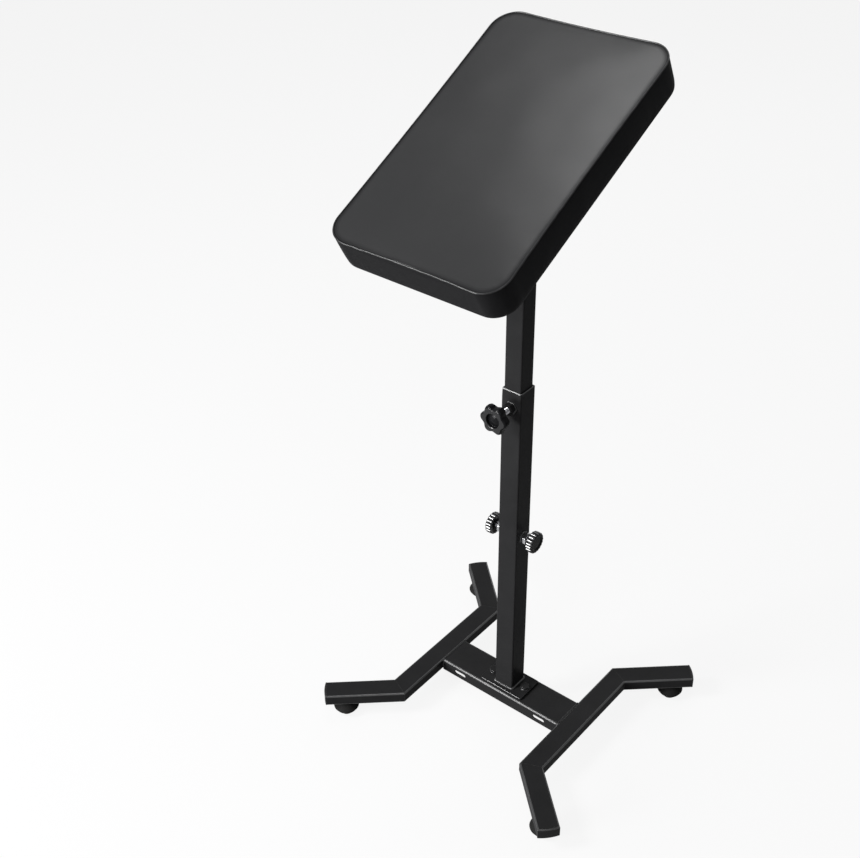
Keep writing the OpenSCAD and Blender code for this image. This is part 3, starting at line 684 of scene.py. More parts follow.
def foot_rubber(settings):
    """Matt black rubber with a chalky bloom and a little dust."""
    made, tree, shader, place = new_material("foot_rubber", Specular_IOR_Level=0.15)
    texture = fine_texture(tree, place, 1100.0, 55.0)
    black, chalky = opaque((0.011, 0.011, 0.011)), opaque((0.018, 0.0178, 0.0175))
    tone = blend_colours(tree, texture["Mottle"], black, chalky)
    dusty, _ = dusted(tree, place, 80.0, 0.35, tone, (0.12, 0.115, 0.11))
    feed(tree, shader, Base_Color=dusty, Roughness=remap(tree, texture["Mottle"], 0.0, 1.0, 0.66, 0.82))
    set_bump(tree, shader, texture["Height"], 0.0001, 0.6)
    return made


def plated(name, dark, light, rough, grain):
    """A plated metal with a slightly uneven tint and gloss."""
    made, tree, shader, place = new_material(name, Metallic=1.0)
    texture = fine_texture(tree, place, grain, 140.0)
    feed(tree, shader, Base_Color=blend_colours(tree, texture["Mottle"], opaque(dark), opaque(light)),
         Roughness=remap(tree, texture["Height"], 0.3, 0.7, *rough))
    set_bump(tree, shader, texture["Height"], 0.00003, 0.5)
    return made


def zinc_steel(settings):
    """Zinc plating on screws and washers."""
    return plated("zinc_steel", (0.50, 0.51, 0.54), (0.66, 0.66, 0.67), (0.22, 0.38), 900.0)


def bright_nut(settings):
    """Bright plating on the nuts of the side clamps."""
    return plated("bright_nut", (0.70, 0.71, 0.73), (0.80, 0.80, 0.81), (0.10, 0.20), 500.0)


def brass(settings):
    """Turned brass."""
    return plated("brass", (0.60, 0.42, 0.17), (0.72, 0.53, 0.25), (0.20, 0.34), 700.0)


def nylon(settings):
    """Natural nylon, a little translucent."""
    return mottled("nylon", (900.0, 120.0), (0.70, 0.68, 0.60), (0.78, 0.77, 0.71),
                   (0.38, 0.5), (0.00004, 0.5),
                   Specular_IOR_Level=0.45, Subsurface_Weight=0.25, Subsurface_Scale=0.002)


def plywood(settings):
    """Birch plywood with dark glue lines between its plies."""
    made, tree, shader, place = new_material("plywood", Specular_IOR_Level=0.3)
    wood = use_group(tree, "Wood Plies", {"Vector": along_pad(tree, place), "Plies": 2100.0})
    light = blend_colours(tree, wood["Grain"], opaque((0.62, 0.44, 0.25)), opaque((0.45, 0.29, 0.14)))
    dark = blend_colours(tree, wood["Grain"], opaque((0.44, 0.27, 0.13)), opaque((0.30, 0.17, 0.08)))
    feed(tree, shader, Base_Color=blend_colours(tree, wood["Ply"], dark, light),
         Roughness=remap(tree, wood["Grain"], 0.3, 0.7, 0.55, 0.72))
    set_bump(tree, shader, wood["Grain"], 0.0001, 0.5)
    return made


def foam(settings):
    """Open-celled upholstery foam, with painted shade in the creases between its cells."""
    made, tree, shader, place = new_material("foam", Specular_IOR_Level=0.2)
    cells = use_group(tree, "Leather Grain", {"Vector": place, "Cell Scale": 1200.0, "Crease Width": 0.25})
    # Painted shade: the creases between the cells are darker.
    tone = blend_colours(tree, cells["Crease"], opaque((0.76, 0.60, 0.30)), opaque((0.48, 0.34, 0.14)))
    feed(tree, shader, Base_Color=tone, Roughness=remap(tree, cells["Crease"], 0.0, 1.0, 0.8, 0.95))
    set_bump(tree, shader, cells["Height"], 0.0003, 0.8)
    return made


def vinyl(settings):
    """Black upholstery vinyl with a fine embossed grain, painted shade in the grain's creases, and a soft, uneven
    gloss.
    """
    made, tree, shader, place = new_material(
        "vinyl", Specular_IOR_Level=0.04, Sheen_Weight=0.01, Sheen_Roughness=0.45, Coat_Roughness=0.34,
        Coat_IOR=1.65)
    colour = settings.pad.vinyl
    grain = use_group(tree, "Leather Grain", {"Vector": place, "Cell Scale": 950.0, "Crease Width": 0.16})
    mottle = fine_texture(tree, place, 220.0, 7.0)["Mottle"]
    tone = blend_colours(tree, mottle, opaque(colour, 0.93), opaque(colour, 1.07))
    # Painted shade: the grain's creases are darkened towards half the vinyl's colour.
    deep = calculate(tree, "MULTIPLY", grain["Crease"], 0.55)
    painted_crease_shade = blend_colours(tree, deep, tone, opaque(colour, 0.5))
    gloss = remap(tree, mottle, 0.0, 1.0, 0.40, 0.48)
    rough = calculate(tree, "ADD", gloss, calculate(tree, "MULTIPLY", grain["Crease"], 0.15))
    feed(tree, shader, Base_Color=painted_crease_shade, Roughness=rough, Coat_Weight=edge_gloss(tree, mottle, 0.85)[1])
    set_bump(tree, shader, grain["Height"], 0.00007, 0.55)
    return made


def dust_fabric(settings):
    """Thin black woven dust cloth, with painted shade in the gaps between its threads."""
    made, tree, shader, place = new_material(
        "dust_fabric", Specular_IOR_Level=0.2, Sheen_Weight=0.25, Sheen_Roughness=0.6)
    weave = use_group(tree, "Plain Weave", {"Vector": along_pad(tree, place), "Threads": 3200.0})
    mottle = fine_texture(tree, place, 300.0, 18.0)["Mottle"]
    tone = blend_colours(tree, mottle, opaque((0.010, 0.010, 0.0105)), opaque((0.016, 0.016, 0.0165)))
    # Painted shade: the gaps between the threads are near black.
    painted_gap_shade = blend_colours(tree, weave["Gap"], tone, opaque((0.003, 0.003, 0.003)))
    feed(tree, shader, Base_Color=painted_gap_shade, Roughness=remap(tree, weave["Height"], 0.0, 1.0, 0.95, 0.8))
    set_bump(tree, shader, weave["Height"], 0.00015, 0.7)
    return made


FINISHES = {finish.__name__: finish for finish in (
    painted_steel, moulded_plastic, knob_plastic, foot_rubber, zinc_steel, bright_nut, brass, nylon, plywood,
    foam, vinyl, dust_fabric)}


def material(name):
    """A finish, which is built when it is first used."""
    return bpy.data.materials.get(finish_name(name)) or FINISHES[name](bpy.context.scene.arm_rest)


# Shapes that several pieces share

def tube_piece(node, name, radius, end_round, polished, rim=None):
    """A CAD tube's copy with round long edges; the rounds narrower than polished are marked.

    Edges that pass the test rim get a chamfer that the tube's wall has room for."""
    obj = cad_copy(node, name)
    points = obj.data.vertices
    spans = [points[b].co - points[a].co for a, b in (e.vertices for e in obj.data.edges)]
    axis = max(spans, key=lambda span: span.length).normalized()

    def along_tube(edge):
        return edge.is_convex and edge.calc_face_angle(0) > 1.2 and abs(direction(edge).dot(axis)) > 0.999

    if rim:
        bevel_edges(obj, MOUTH_CHAMFER, 1, rim)
    bevel_edges(obj, radius, 5, along_tube)
    bevel(obj, end_round, 2, 50)
    mark_rounds(obj, polished, lambda face: 0.3 < abs(face.normal.dot(axis)) < 0.95)
    return obj


def over_corners(flats):
    """The radius of a hexagon over its corners."""
    return flats / 2 / math.cos(math.pi / 6)


def hexagon(name, flats, height, bore=0.0):
    """A hexagon head, or a nut when it has a bore, with its corners turned off at 30 degrees."""
    corner, face = over_corners(flats), flats / 2 * 0.96
    slope = (corner - face) * math.tan(math.pi / 6)
    outer = corner * 1.02
    body = lathe(name, [(0, 0), (corner, 0), (corner, height), (0, height)], steps=6)
    if bore:
        lead = 0.0007
        profile = [(bore, lead), (bore + lead, 0), (face, 0), (outer, slope), (outer, height - slope),
                   (face, height), (bore + lead, height), (bore, height - lead)]
    else:
        profile = [(0, 0), (outer, 0), (outer, height - slope), (face, height), (0, height)]
    boolean(body, lathe(name + "_turned", profile, 60, closed=bool(bore)), "INTERSECT")
    edit_whole(body)
    bpy.ops.mesh.dissolve_limited(angle_limit=math.radians(0.5))
    leave_edit()
    bevel(body, 0.00025, 2, 25)
    return body


def threaded_rod(name, radius, low, high, pitch, chamfer=0.0012):
    """A rod along Z with a helical thread cut into it and chamfered ends."""
    depth = 0.54 * pitch
    length = high - low
    bpy.ops.mesh.primitive_cylinder_add(vertices=28, radius=radius, depth=length,
                                        location=(0, 0, (low + high) / 2))
    rod = bpy.context.object
    rod.name = name
    bpy.ops.object.transform_apply(location=True, rotation=True, scale=True)
    for _ in range(math.ceil(math.log2(length / pitch * 5))):
        edit(rod)
        select(rod, "EDGE", upright)
        bpy.ops.mesh.subdivide(number_cuts=1)
        leave_edit()

    def cut(point):
        phase = (point.z / pitch - math.atan2(point.y, point.x) / math.tau) % 1.0
        flank = min(1.0, max(0.0, 1.35 * (1 - abs(2 * phase - 1)) - 0.12))
        from_end = min(point.z - low, high - point.z)
        limit = radius - max(0.0, chamfer - from_end)
        size = min(radius - depth * (1 - flank), limit)
        flat = Vector((point.x, point.y, 0)).normalized() * size
        return Vector((flat.x, flat.y, point.z))

    move_points(rod, cut)
    return rod


def sweep(name, path, radii, closed, sides=10):
    """A tube along a path with a radius of its own at each point, as a closed mesh."""
    curve = bpy.data.curves.new(name, "CURVE")
    curve.dimensions = "3D"
    curve.bevel_depth = 1.0
    curve.bevel_resolution = sides // 2 - 2
    curve.use_fill_caps = True
    spline = curve.splines.new("POLY")
    spline.points.add(len(path) - 1)
    for point, place, radius in zip(spline.points, path, radii):
        point.co = (*place, 1.0)
        point.radius = radius
    spline.use_cyclic_u = closed
    obj = new_object(name, curve)
    activate(obj)
    bpy.ops.object.convert(target="MESH")
    obj = bpy.context.object
    turn_faces(obj, merge=1e-7)
    return obj


def stepped_path(corners, step, closed=False):
    """Points every step along straight lines between corners."""
    points = []
    ends = corners[1:] + (corners[:1] if closed else [])
    for start, end in zip(corners, ends):
        start, end = Vector(start), Vector(end)
        count = max(1, round((end - start).length / step))
        points += [start.lerp(end, i / count) for i in range(count)]
    if not closed:
        points.append(Vector(corners[-1]))
    return points


def weld_bead(name, corners, steel, closed=False, share=1.0, seed=0, shine=0.7):
    """A rippled weld bead along straight lines, thicker where the welder paused."""
    step = steel.weld_pitch / 4
    path = stepped_path(corners, step, closed)
    radius = steel.weld_width / 2 * share
    radii = []
    for i, point in enumerate(path):
        ripple = (i * step / steel.weld_pitch) % 1.0
        drift = noise.noise(point * 160 + Vector((seed, 0, 0)))
        from_end = len(path) if closed else min(i, len(path) - 1 - i)
        radii.append(radius * (0.92 + 0.16 * ripple + 0.13 * drift) * min(1.0, 0.45 + 0.12 * from_end))
        path[i] = point + noise.noise_vector(point * 210 + Vector((0, seed, 0))) * radius * 0.10
    bead = sweep(name, path, radii, closed)
    mark_faces(bead, lambda face: shine)
    return bead


def rounded_rectangle(half_x, half_y, radius, step):
    """Points along a rounded rectangle and their outward directions, counter-clockwise."""
    found = []
    for turn in range(4):
        quarter = turn * math.pi / 2
        sign_x, sign_y = (1, -1, -1, 1)[turn], (1, 1, -1, -1)[turn]
        centre = Vector((sign_x * (half_x - radius), sign_y * (half_y - radius)))
        arcs = max(3, round(radius * math.pi / 2 / step))
        for i in range(arcs + 1):
            angle = quarter + math.pi / 2 * i / arcs
            out = Vector((math.cos(angle), math.sin(angle)))
            found.append((centre + out * radius, out))
        side = (2 * half_y - 2 * radius) if turn % 2 else (2 * half_x - 2 * radius)
        end, out = found[-1]
        along = Vector((-out.y, out.x))
        count = max(1, round(side / step))
        found += [(end + along * side * i / count, out) for i in range(1, count)]
    return found


# Base

class ARMREST_OT_rails(bpy.types.Operator):
    """Give the six welded lengths of the two floor rails the round edges of real tube"""
    bl_idname = "armrest.rails"
    bl_label = "Rails"

    def execute(self, context):
        steel = context.scene.arm_rest.steel
        for side in ("left", "right"):
            for part in ("near", "middle", "far"):
                node = f"rail_{side}_{part}"
                rail = tube_piece(node, node + "_tube", steel.tube_round, steel.sheet_round / 2,
                                  steel.tube_round)
                complete(rail, "painted_steel", BODY_OF[node], node)
        return {"FINISHED"}


class ARMREST_OT_end_caps(bpy.types.Operator):
    """Round off the plastic caps in the ends of the rails"""
    bl_idname = "armrest.end_caps"
    bl_label = "End caps"

    def execute(self, context):
        steel = context.scene.arm_rest.steel
        edge_round = 0.0007
        for side, end in CORNERS:
            node = f"end_cap_{side}_{end}"
            cap = cad_copy(node, node + "_moulding")
            low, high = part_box(node)
            bevel_edges(cap, steel.tube_round * 0.8, 4,
                        lambda e: e.is_convex and e.calc_length() < 0.0025
                        and abs(e.verts[0].co.z - e.verts[1].co.z) < 1e-5
                        and min(abs(e.verts[0].co.z - low.z), abs(e.verts[0].co.z - high.z)) < 1e-5)
            bevel(cap, edge_round, 3, 40)
            mark_rounds(cap, edge_round)
            complete(cap, "moulded_plastic", BODY_OF[node], node)
        return {"FINISHED"}


def over_feet(height):
    """A place on each foot's axis at a height."""
    return [Matrix.Translation((*middle(f"foot_{side}_{end}").xy, height)) for side, end in CORNERS]


class ARMREST_OT_feet(bpy.types.Operator):
    """Mould the rubber feet, with a rolled edge, a parting line and a ring tread under each"""
    bl_idname = "armrest.feet"
    bl_label = "Feet"

    def execute(self, context):
        low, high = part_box("foot_left_near")
        axis, height = middle("foot_left_near").xy, high.z - low.z
        wide_r = (high.x - low.x) / 2
        skin = [((v.co.xy - axis).length, v.co.z) for v in frame["nodes"]["foot_left_near"].data.vertices]
        neck_r = max(r for r, z in skin if z > height - 0.001)
        floor_r = min(r for r, z in skin if 0.0005 < z < height * 0.2 and r > 0.0075)
        band = [z for r, z in skin if r > wide_r - 0.0002]
        wide_low, wide_high = min(band), max(band)
        neck_z = min(z for r, z in skin if abs(r - neck_r) < 0.0002)
        hole_r, recess_r, recess_h = 0.0033, 0.0065, 0.010
        line, groove = 0.0004, 0.0008
        tread_r, flare, parting = recess_r + 0.0010, wide_r - floor_r, (wide_low + wide_high) / 2
        profile = [
            (hole_r, recess_h), (recess_r, recess_h), (recess_r, 0.0), (tread_r, 0.0),
            (tread_r + groove / 2, groove), (tread_r + groove * 1.5, groove), (tread_r + groove * 2, 0.0),
            (floor_r - 0.0016, 0.0), (floor_r - 0.0005, 0.0005), (floor_r + 0.0002, 0.0018),
            (floor_r + flare * 0.36, wide_low * 0.42), (floor_r + flare * 0.66, wide_low * 0.68),
            (wide_r - 0.0013, wide_low - 0.0006), (wide_r - 0.0003, wide_low + 0.0006),
            (wide_r - line, parting - line), (wide_r, parting), (wide_r - line, parting + line),
            (wide_r - 0.0004, wide_high - 0.0008),
            (wide_r - 0.0018, wide_high + 0.0008), (neck_r + 0.0020, neck_z - 0.0016),
            (neck_r + 0.0005, neck_z - 0.0002), (neck_r, neck_z + 0.0014), (neck_r, height - 0.0006),
            (neck_r - 0.0006, height - 0.0001), (hole_r, height - 0.0001)]
        foot = lathe("foot", profile, 64, closed=True)
        bevel(foot, 0.00025, 2, 40)
        for (side, end), made in zip(CORNERS, copies(foot, over_feet(0))):
            made.name = f"foot_{side}_{end}_rubber"
            complete(made, "foot_rubber", "base", f"foot_{side}_{end}", angle=50)
        dressed("foot_inserts", "foot_insert_bushes", "zinc_steel", 0.0002)
        return {"FINISHED"}


def cross_recess(name, size, depth):
    """The tapered cross that a driver fits."""
    arms = []
    for quarter in (0, 1):
        bpy.ops.mesh.primitive_cube_add(size=1)
        arm = bpy.context.object
        arm.scale = (size, size * 0.24, depth * 2)
        arm.rotation_euler.z = quarter * math.pi / 2
        bpy.ops.object.transform_apply(location=True, rotation=True, scale=True)
        move_points(arm, lambda p: Vector((p.x * 0.55, p.y * 0.6, p.z)) if p.z < 0 else p)
        arms.append(arm)
    boolean(arms[0], arms[1], "UNION")
    arms[0].name = name
    return arms[0]


def pan_screw(name, radius, head_r, head_h, shank, pitch):
    """A pan-head screw along +Z, its head below z = 0 and its driver recess facing down."""
    head = lathe(name, [(0, 0), (head_r * 0.96, 0), (head_r, -head_h * 0.25), (head_r * 0.97, -head_h * 0.55),
                        (head_r * 0.82, -head_h * 0.86), (head_r * 0.5, -head_h * 0.98), (0, -head_h)], 40)
    recess = cross_recess(name + "_recess", head_r * 1.15, head_h * 0.62)
    recess.data.transform(Matrix.Translation((0, 0, -head_h)) @ turned(math.pi, "X"))
    boolean(head, recess, "DIFFERENCE")
    bevel(head, 0.0001, 1, 50)
    rod = threaded_rod(name + "_thread", radius, -0.0003, shank, pitch, 0.0006)
    return join(name, [head, rod])


class ARMREST_OT_foot_screws(bpy.types.Operator):
    """Cut the cross recesses and threads of the screws that hold the feet"""
    bl_idname = "armrest.foot_screws"
    bl_label = "Foot screws"

    def execute(self, context):
        low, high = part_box("foot_screws")
        radius, head_r, head_h, pitch = 0.003, 0.0057, 0.0036, 0.001
        seat = low.z + head_h
        screw = pan_screw("foot_screw", radius, head_r, head_h, high.z - seat, pitch)
        complete(join("foot_pan_screws", copies(screw, over_feet(seat))), "zinc_steel", "base", "foot_screws")
        return {"FINISHED"}


class ARMREST_OT_crossbar(bpy.types.Operator):
    """Dress the folded crossbar and the plate that carries the column"""
    bl_idname = "armrest.crossbar"
    bl_label = "Crossbar and base plate"

    def execute(self, context):
        steel = context.scene.arm_rest.steel
        channel = cad_copy("crossbar", "crossbar_channel")
        bevel(channel, steel.sheet_round, 3, 40)
        mark_faces(channel, lambda face: 0.45 * (min(abs(face.normal.y), face.normal.z) > 0.1))
        complete(channel, "painted_steel", "base", "crossbar")
        plate = cad_copy("base_plate", "column_base_plate")
        corner_round, chamfer = 0.003, 0.0019
        bevel_edges(plate, corner_round, 5,
                    lambda e: e.is_convex and e.calc_length() < 0.0045 and upright(e))
        bevel(plate, chamfer, 1, 40)
        mark_faces(plate, lambda face: 0.3 < face.normal.z < 0.9)
        complete(plate, "painted_steel", "base", "base_plate")
        return {"FINISHED"}


class ARMREST_OT_plate_bolts(bpy.types.Operator):
    """Make the two bolts that hold the column to the crossbar, with their washers and nuts"""
    bl_idname = "armrest.plate_bolts"
    bl_label = "Plate bolts"

    def execute(self, context):
        low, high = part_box("plate_bolts")
        nut_low, nut_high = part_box("plate_nuts")
        flats = high.y - low.y
        radius = 0.004
        reach = (high.x - low.x) / 2 - over_corners(flats)
        head = lift(hexagon("plate_bolt", flats, high.z - PLATE_TOP), PLATE_TOP)
        profile = [(0, 0.0009), (flats * 0.52, 0.0009), (flats * 0.56, 0.0004), (flats * 0.56, 0), (0, 0)]
        flange = lift(lathe("plate_bolt_flange", profile), PLATE_TOP)
        rod = threaded_rod("plate_bolt_thread", radius, low.z, PLATE_TOP + 0.001, 0.00125, 0.0008)
        bolt = join("plate_bolt", [head, flange, rod])
        mark_faces(bolt, lambda face: 0.6 * (face.normal.z < 0.9))
        places = [Matrix.Translation((x, COLUMN.y, 0)) for x in (-reach, reach)]
        complete(join("plate_hex_bolts", copies(bolt, places)), "painted_steel", "base", "plate_bolts")
        nut = lift(hexagon("plate_nut", flats, nut_high.z - nut_low.z, bore=radius + 0.0001), nut_low.z)
        complete(join("plate_hex_nuts", copies(nut, places)), "zinc_steel", "base", "plate_nuts")
        dressed("plate_washers", "plate_flat_washers", "zinc_steel", 0.0002)
        return {"FINISHED"}


class ARMREST_OT_base_welds(bpy.types.Operator):
    """Lay the weld beads of the rails, crossbar and column"""
    bl_idname = "armrest.base_welds"
    bl_label = "Base welds"

    def execute(self, context):
        steel = context.scene.arm_rest.steel
        bar_low, bar_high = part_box("crossbar")
        sunk = steel.weld_width * 0.30
        inset, turn, top = 0.001, 0.002, RAIL_TOP - sunk
        front_y, rear_y = bar_low.y + inset, bar_high.y - inset
        line = [(front_y, RAIL_LOW + turn), (front_y, top - turn), (front_y + turn, top),
                (rear_y - turn, top), (rear_y, top - turn), (rear_y, RAIL_LOW + turn)]
        beads = []
        for side in (-1, 1):
            path = [(side * bar_high.x, y, z) for y, z in line]
            beads.append(weld_bead("crossbar_weld", path, steel, seed=side + 2, shine=0.25))
        complete(join("crossbar_welds", beads), "painted_steel", "base", angle=60)

        low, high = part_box("outer_tube")
        cut = steel.tube_round * 0.6
        ring = [(high.x, low.y + cut), (high.x, high.y - cut), (high.x - cut, high.y), (low.x + cut, high.y),
                (low.x, high.y - cut), (low.x, low.y + cut), (low.x + cut, low.y), (high.x - cut, low.y)]
        path = [(x, y, PLATE_TOP + 0.0004) for x, y in ring]
        foot = weld_bead("column_weld", path, steel, True, 1.0, 7, 1.0)
        complete(foot, "painted_steel", "base", angle=60)
        return {"FINISHED"}


class ARMREST_OT_mitre_welds(bpy.types.Operator):
    """Lay the low, dressed-down beads over the mitres of the rails"""
    bl_idname = "armrest.mitre_welds"
    bl_label = "Mitre welds"

    def execute(self, context):
        steel = context.scene.arm_rest.steel
        beads = [weld_bead("mitre_weld", self.mitre(side, end), steel, True, 0.42, seed, 0.1)
                 for seed, (side, end) in enumerate(CORNERS)]
        complete(join("rail_mitre_welds", beads), "painted_steel", "base", angle=60)
        return {"FINISHED"}

    def mitre(self, side, end):
        """A ring of corners just under the skin where an end section meets the middle one."""
        middle_mesh = frame["nodes"][f"rail_{side}_middle"].data
        sign = 1 if end == "far" else -1
        ends = sorted({(round(v.co.x, 6), round(v.co.y, 6)) for v in middle_mesh.vertices
                       if (v.co.y - COLUMN.y) * sign > 0})
        (x0, y0), (x1, y1) = ends[0], ends[-1]
        along = Vector((x1 - x0, y1 - y0, 0)).normalized()
        inset, sunk = 0.0022, 0.0009
        near = Vector((x0, y0, 0)) + along * inset
        far = Vector((x1, y1, 0)) - along * inset
        z_low, z_high = RAIL_LOW + sunk, RAIL_TOP - sunk
        side_in = along * (inset - sunk)
        ring = [(near, z_high), (far, z_high),
                (far + side_in, z_high - inset), (far + side_in, z_low + inset),
                (far, z_low), (near, z_low),
                (near - side_in, z_low + inset), (near - side_in, z_high - inset)]
        return [point + Vector((0, 0, z)) for point, z in ring]


# Column

class ARMREST_OT_column(bpy.types.Operator):
    """Give the two column tubes round edges and dress the plastic plugs and bush in them"""
    bl_idname = "armrest.column"
    bl_label = "Column"

    def execute(self, context):
        steel = context.scene.arm_rest.steel
        outer_half = middle("outer_tube").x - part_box("outer_tube")[0].x

        def mouth(edge):
            """Whether an edge lies round the outside of the outer tube's mouth."""
            offsets = [vertex.co - COLUMN for vertex in edge.verts]
            return (all(max(abs(off.x), abs(off.y)) > outer_half - 0.0011 for off in offsets)
                    and all(vertex.co.z > OUTER_TOP - 1e-5 for vertex in edge.verts))

        polished = 0.00065
        for node, end_round in (("outer_tube", 0.0002), ("inner_tube", 0.0005)):
            tube = tube_piece(node, node + "_section", steel.tube_round, end_round, polished, mouth)
            complete(tube, "painted_steel", BODY_OF[node], node)
        dressed("guide_bush", "guide_bush_collar", "moulded_plastic", 0.0008, 3)
        for node in ("glide_plug", "top_plug"):
            plug = cad_copy(node, node + "_moulding")
            bevel_edges(plug, steel.tube_round, 4, lambda e: e.is_convex and upright(e))
            bevel(plug, 0.0004, 2, 40)
            complete(plug, "moulded_plastic", BODY_OF[node], node)
        return {"FINISHED"}


class ARMREST_OT_clamp_nuts(bpy.types.Operator):
    """Make the three welded nuts: a painted one on the front and a bright one on each side"""
    bl_idname = "armrest.clamp_nuts"
    bl_label = "Clamp nuts"

    def execute(self, context):
        steel = context.scene.arm_rest.steel
        for name, place in CLAMPS.items():
            node = f"{name}_clamp_nut"
            low, high = local_box(node, place)
            flats = high.y - low.y
            nut = lift(hexagon(node + "_hexagon", flats, high.z - low.z, bore=CLAMP_BORE), low.z)
            nut.data.transform(place)
            complete(nut, "painted_steel" if name == "top" else "bright_nut", "base", node)
            corner = over_corners(flats)
            ring = [place @ Vector((math.cos(a) * corner, math.sin(a) * corner, low.z + 0.0003))
                    for a in (i * math.pi / 3 for i in range(6))]
            bead = weld_bead(node + "_weld", ring, steel, True, 0.45, flats * 1000)
            complete(bead, "painted_steel", "base", angle=60)
        return {"FINISHED"}


class ARMREST_OT_clamp_screws(bpy.types.Operator):
    """Cut the threads of the three clamp screws"""
    bl_idname = "armrest.clamp_screws"
    bl_label = "Clamp screws"

    def execute(self, context):
        pitch = context.scene.arm_rest.hardware.pitch
        for name, place in CLAMPS.items():
            node = f"{name}_clamp_screw"
            low, high = local_box(node, place)
            rod = threaded_rod(node + "_thread", (high.x - low.x) / 2, low.z, high.z, pitch)
            rod.data.transform(place)
            complete(rod, "zinc_steel", BODY_OF[node], node, angle=50)
            tip = f"{name}_pressure_pad"
            dressed(tip, tip + "_disc", "nylon", 0.0004, 3)
        return {"FINISHED"}


# Knobs

def hollow_rim(knob, start, radius, depth, count, sign, power):
    """Draws in a turned knob's rim at count places, from nothing at start to depth at its radius."""
    def drawn(point):
        distance = math.hypot(point.x, point.y)
        if distance <= start:
            return point
        hollow = (0.5 + sign * 0.5 * math.cos(math.atan2(point.y, point.x) * count)) ** power
        size = distance - (distance - start) / (radius - start) * depth * hollow
        return Vector((point.x * size / distance, point.y * size / distance, point.z))

    move_points(knob, drawn)


def star_knob(name, radius, hub_h, height, bore_r, bore_h, hardware):
    """A lobed knob on a hub along +Z, with a ring recess in its face and a blind hole in its hub."""
    hub_r, ring_r, recess = 0.010, 0.0115, 0.0045
    profile = [
        (0, bore_h), (bore_r, bore_h), (bore_r, 0), (hub_r - 0.0006, 0), (hub_r, 0.0008),
        (hub_r + 0.0006, hub_h - 0.0022), (hub_r + 0.0024, hub_h - 0.0003), (radius - 0.0032, hub_h),
        (radius - 0.0008, hub_h + 0.0018), (radius, hub_h + 0.0045), (radius, height - 0.0045),
        (radius - 0.0008, height - 0.0018), (radius - 0.0034, height - 0.0002),
        (ring_r + 0.0024, height - 0.0002), (ring_r + 0.0010, height), (ring_r, height - 0.0006),
        (ring_r - 0.0004, height - recess),
        (ring_r * 0.80, height - recess), (ring_r * 0.62, height - recess * 0.80),
        (ring_r * 0.44, height - recess * 0.64), (ring_r * 0.22, height - recess * 0.53),
        (0, height - recess * 0.50)]
    knob = lathe(name, profile, hardware.lobes * 20)
    bevel(knob, 0.0004, 2, 25)
    hollow_rim(knob, hub_r + 0.003, radius, hardware.lobe_depth * radius, hardware.lobes, -1, 1.25)
    mark_faces(knob, lambda face: 0.35 * (face.normal.z > 0.2 and face.center.z > height - 0.001))
    return knob


class ARMREST_OT_star_knobs(bpy.types.Operator):
    """Mould the star knobs of the top clamp and of the tilt joint"""
    bl_idname = "armrest.star_knobs"
    bl_label = "Star knobs"

    def execute(self, context):
        hardware = context.scene.arm_rest.hardware
        for node, place, shank in (("top_clamp_knob", CLAMPS["top"], "top_clamp_screw"),
                                   ("tilt_knob", ALONG_HINGE, "tilt_knob_insert")):
            low, high = local_box(node, place)
            shank_low, shank_high = local_box(shank, place)
            hub_h, top_wall, height = 0.007, 0.0045, high.z - low.z
            knob = star_knob(node + "_star", (high.x - low.x) / 2, hub_h, height,
                             (shank_high.x - shank_low.x) / 2 + 0.00005,
                             min(shank_high.z - low.z, height - top_wall) + 0.0001, hardware)
            lift(knob, low.z).data.transform(place)
            complete(knob, "knob_plastic", BODY_OF[node], node, angle=50)
        return {"FINISHED"}


class ARMREST_OT_fluted_knobs(bpy.types.Operator):
    """Mould the fluted knobs of the two side clamps"""
    bl_idname = "armrest.fluted_knobs"
    bl_label = "Fluted knobs"

    def execute(self, context):
        hardware = context.scene.arm_rest.hardware
        for side in ("left", "right"):
            node = f"{side}_clamp_knob"
            place = CLAMPS[side]
            low, high = local_box(node, place)
            radius, thick = (high.y - low.y) / 2, high.z - low.z
            hole = local_box(f"{side}_clamp_screw", place)[1].z - low.z + 0.0001
            dish = radius * 0.64
            profile = [
                (0, hole), (CLAMP_BORE, hole), (CLAMP_BORE, 0.0004), (0.0056, 0), (0.0078, 0),
                (0.0084, 0.0009), (0.0096, 0.0015),
                (radius - 0.0034, 0.0010), (radius - 0.0014, 0.0003), (radius, 0.0018),
                (radius, thick - 0.0018), (radius - 0.0014, thick - 0.0003), (radius - 0.0032, thick),
                (dish + 0.0010, thick), (dish, thick - 0.0005), (dish - 0.0016, thick - 0.0015),
                (0, thick - 0.0012)]
            knob = lathe(node + "_fluted", profile, hardware.flutes * 10)
            bevel(knob, 0.0003, 2, 25)
            start = radius - 0.0040
            hollow_rim(knob, start, radius, hardware.flute_depth, hardware.flutes, 1, 1.6)

            def ridge(face):
                """Whether a face of the rim lies between two flutes."""
                turn = math.atan2(face.center.y, face.center.x) * hardware.flutes
                on_rim = math.hypot(*face.center.xy) > start and abs(face.normal.z) < 0.95
                return on_rim and math.cos(turn) < 0.2

            mark_faces(knob, ridge)
            lift(knob, low.z).data.transform(place)
            complete(knob, "knob_plastic", BODY_OF[node], node, angle=50)
        return {"FINISHED"}


# Tilt joint

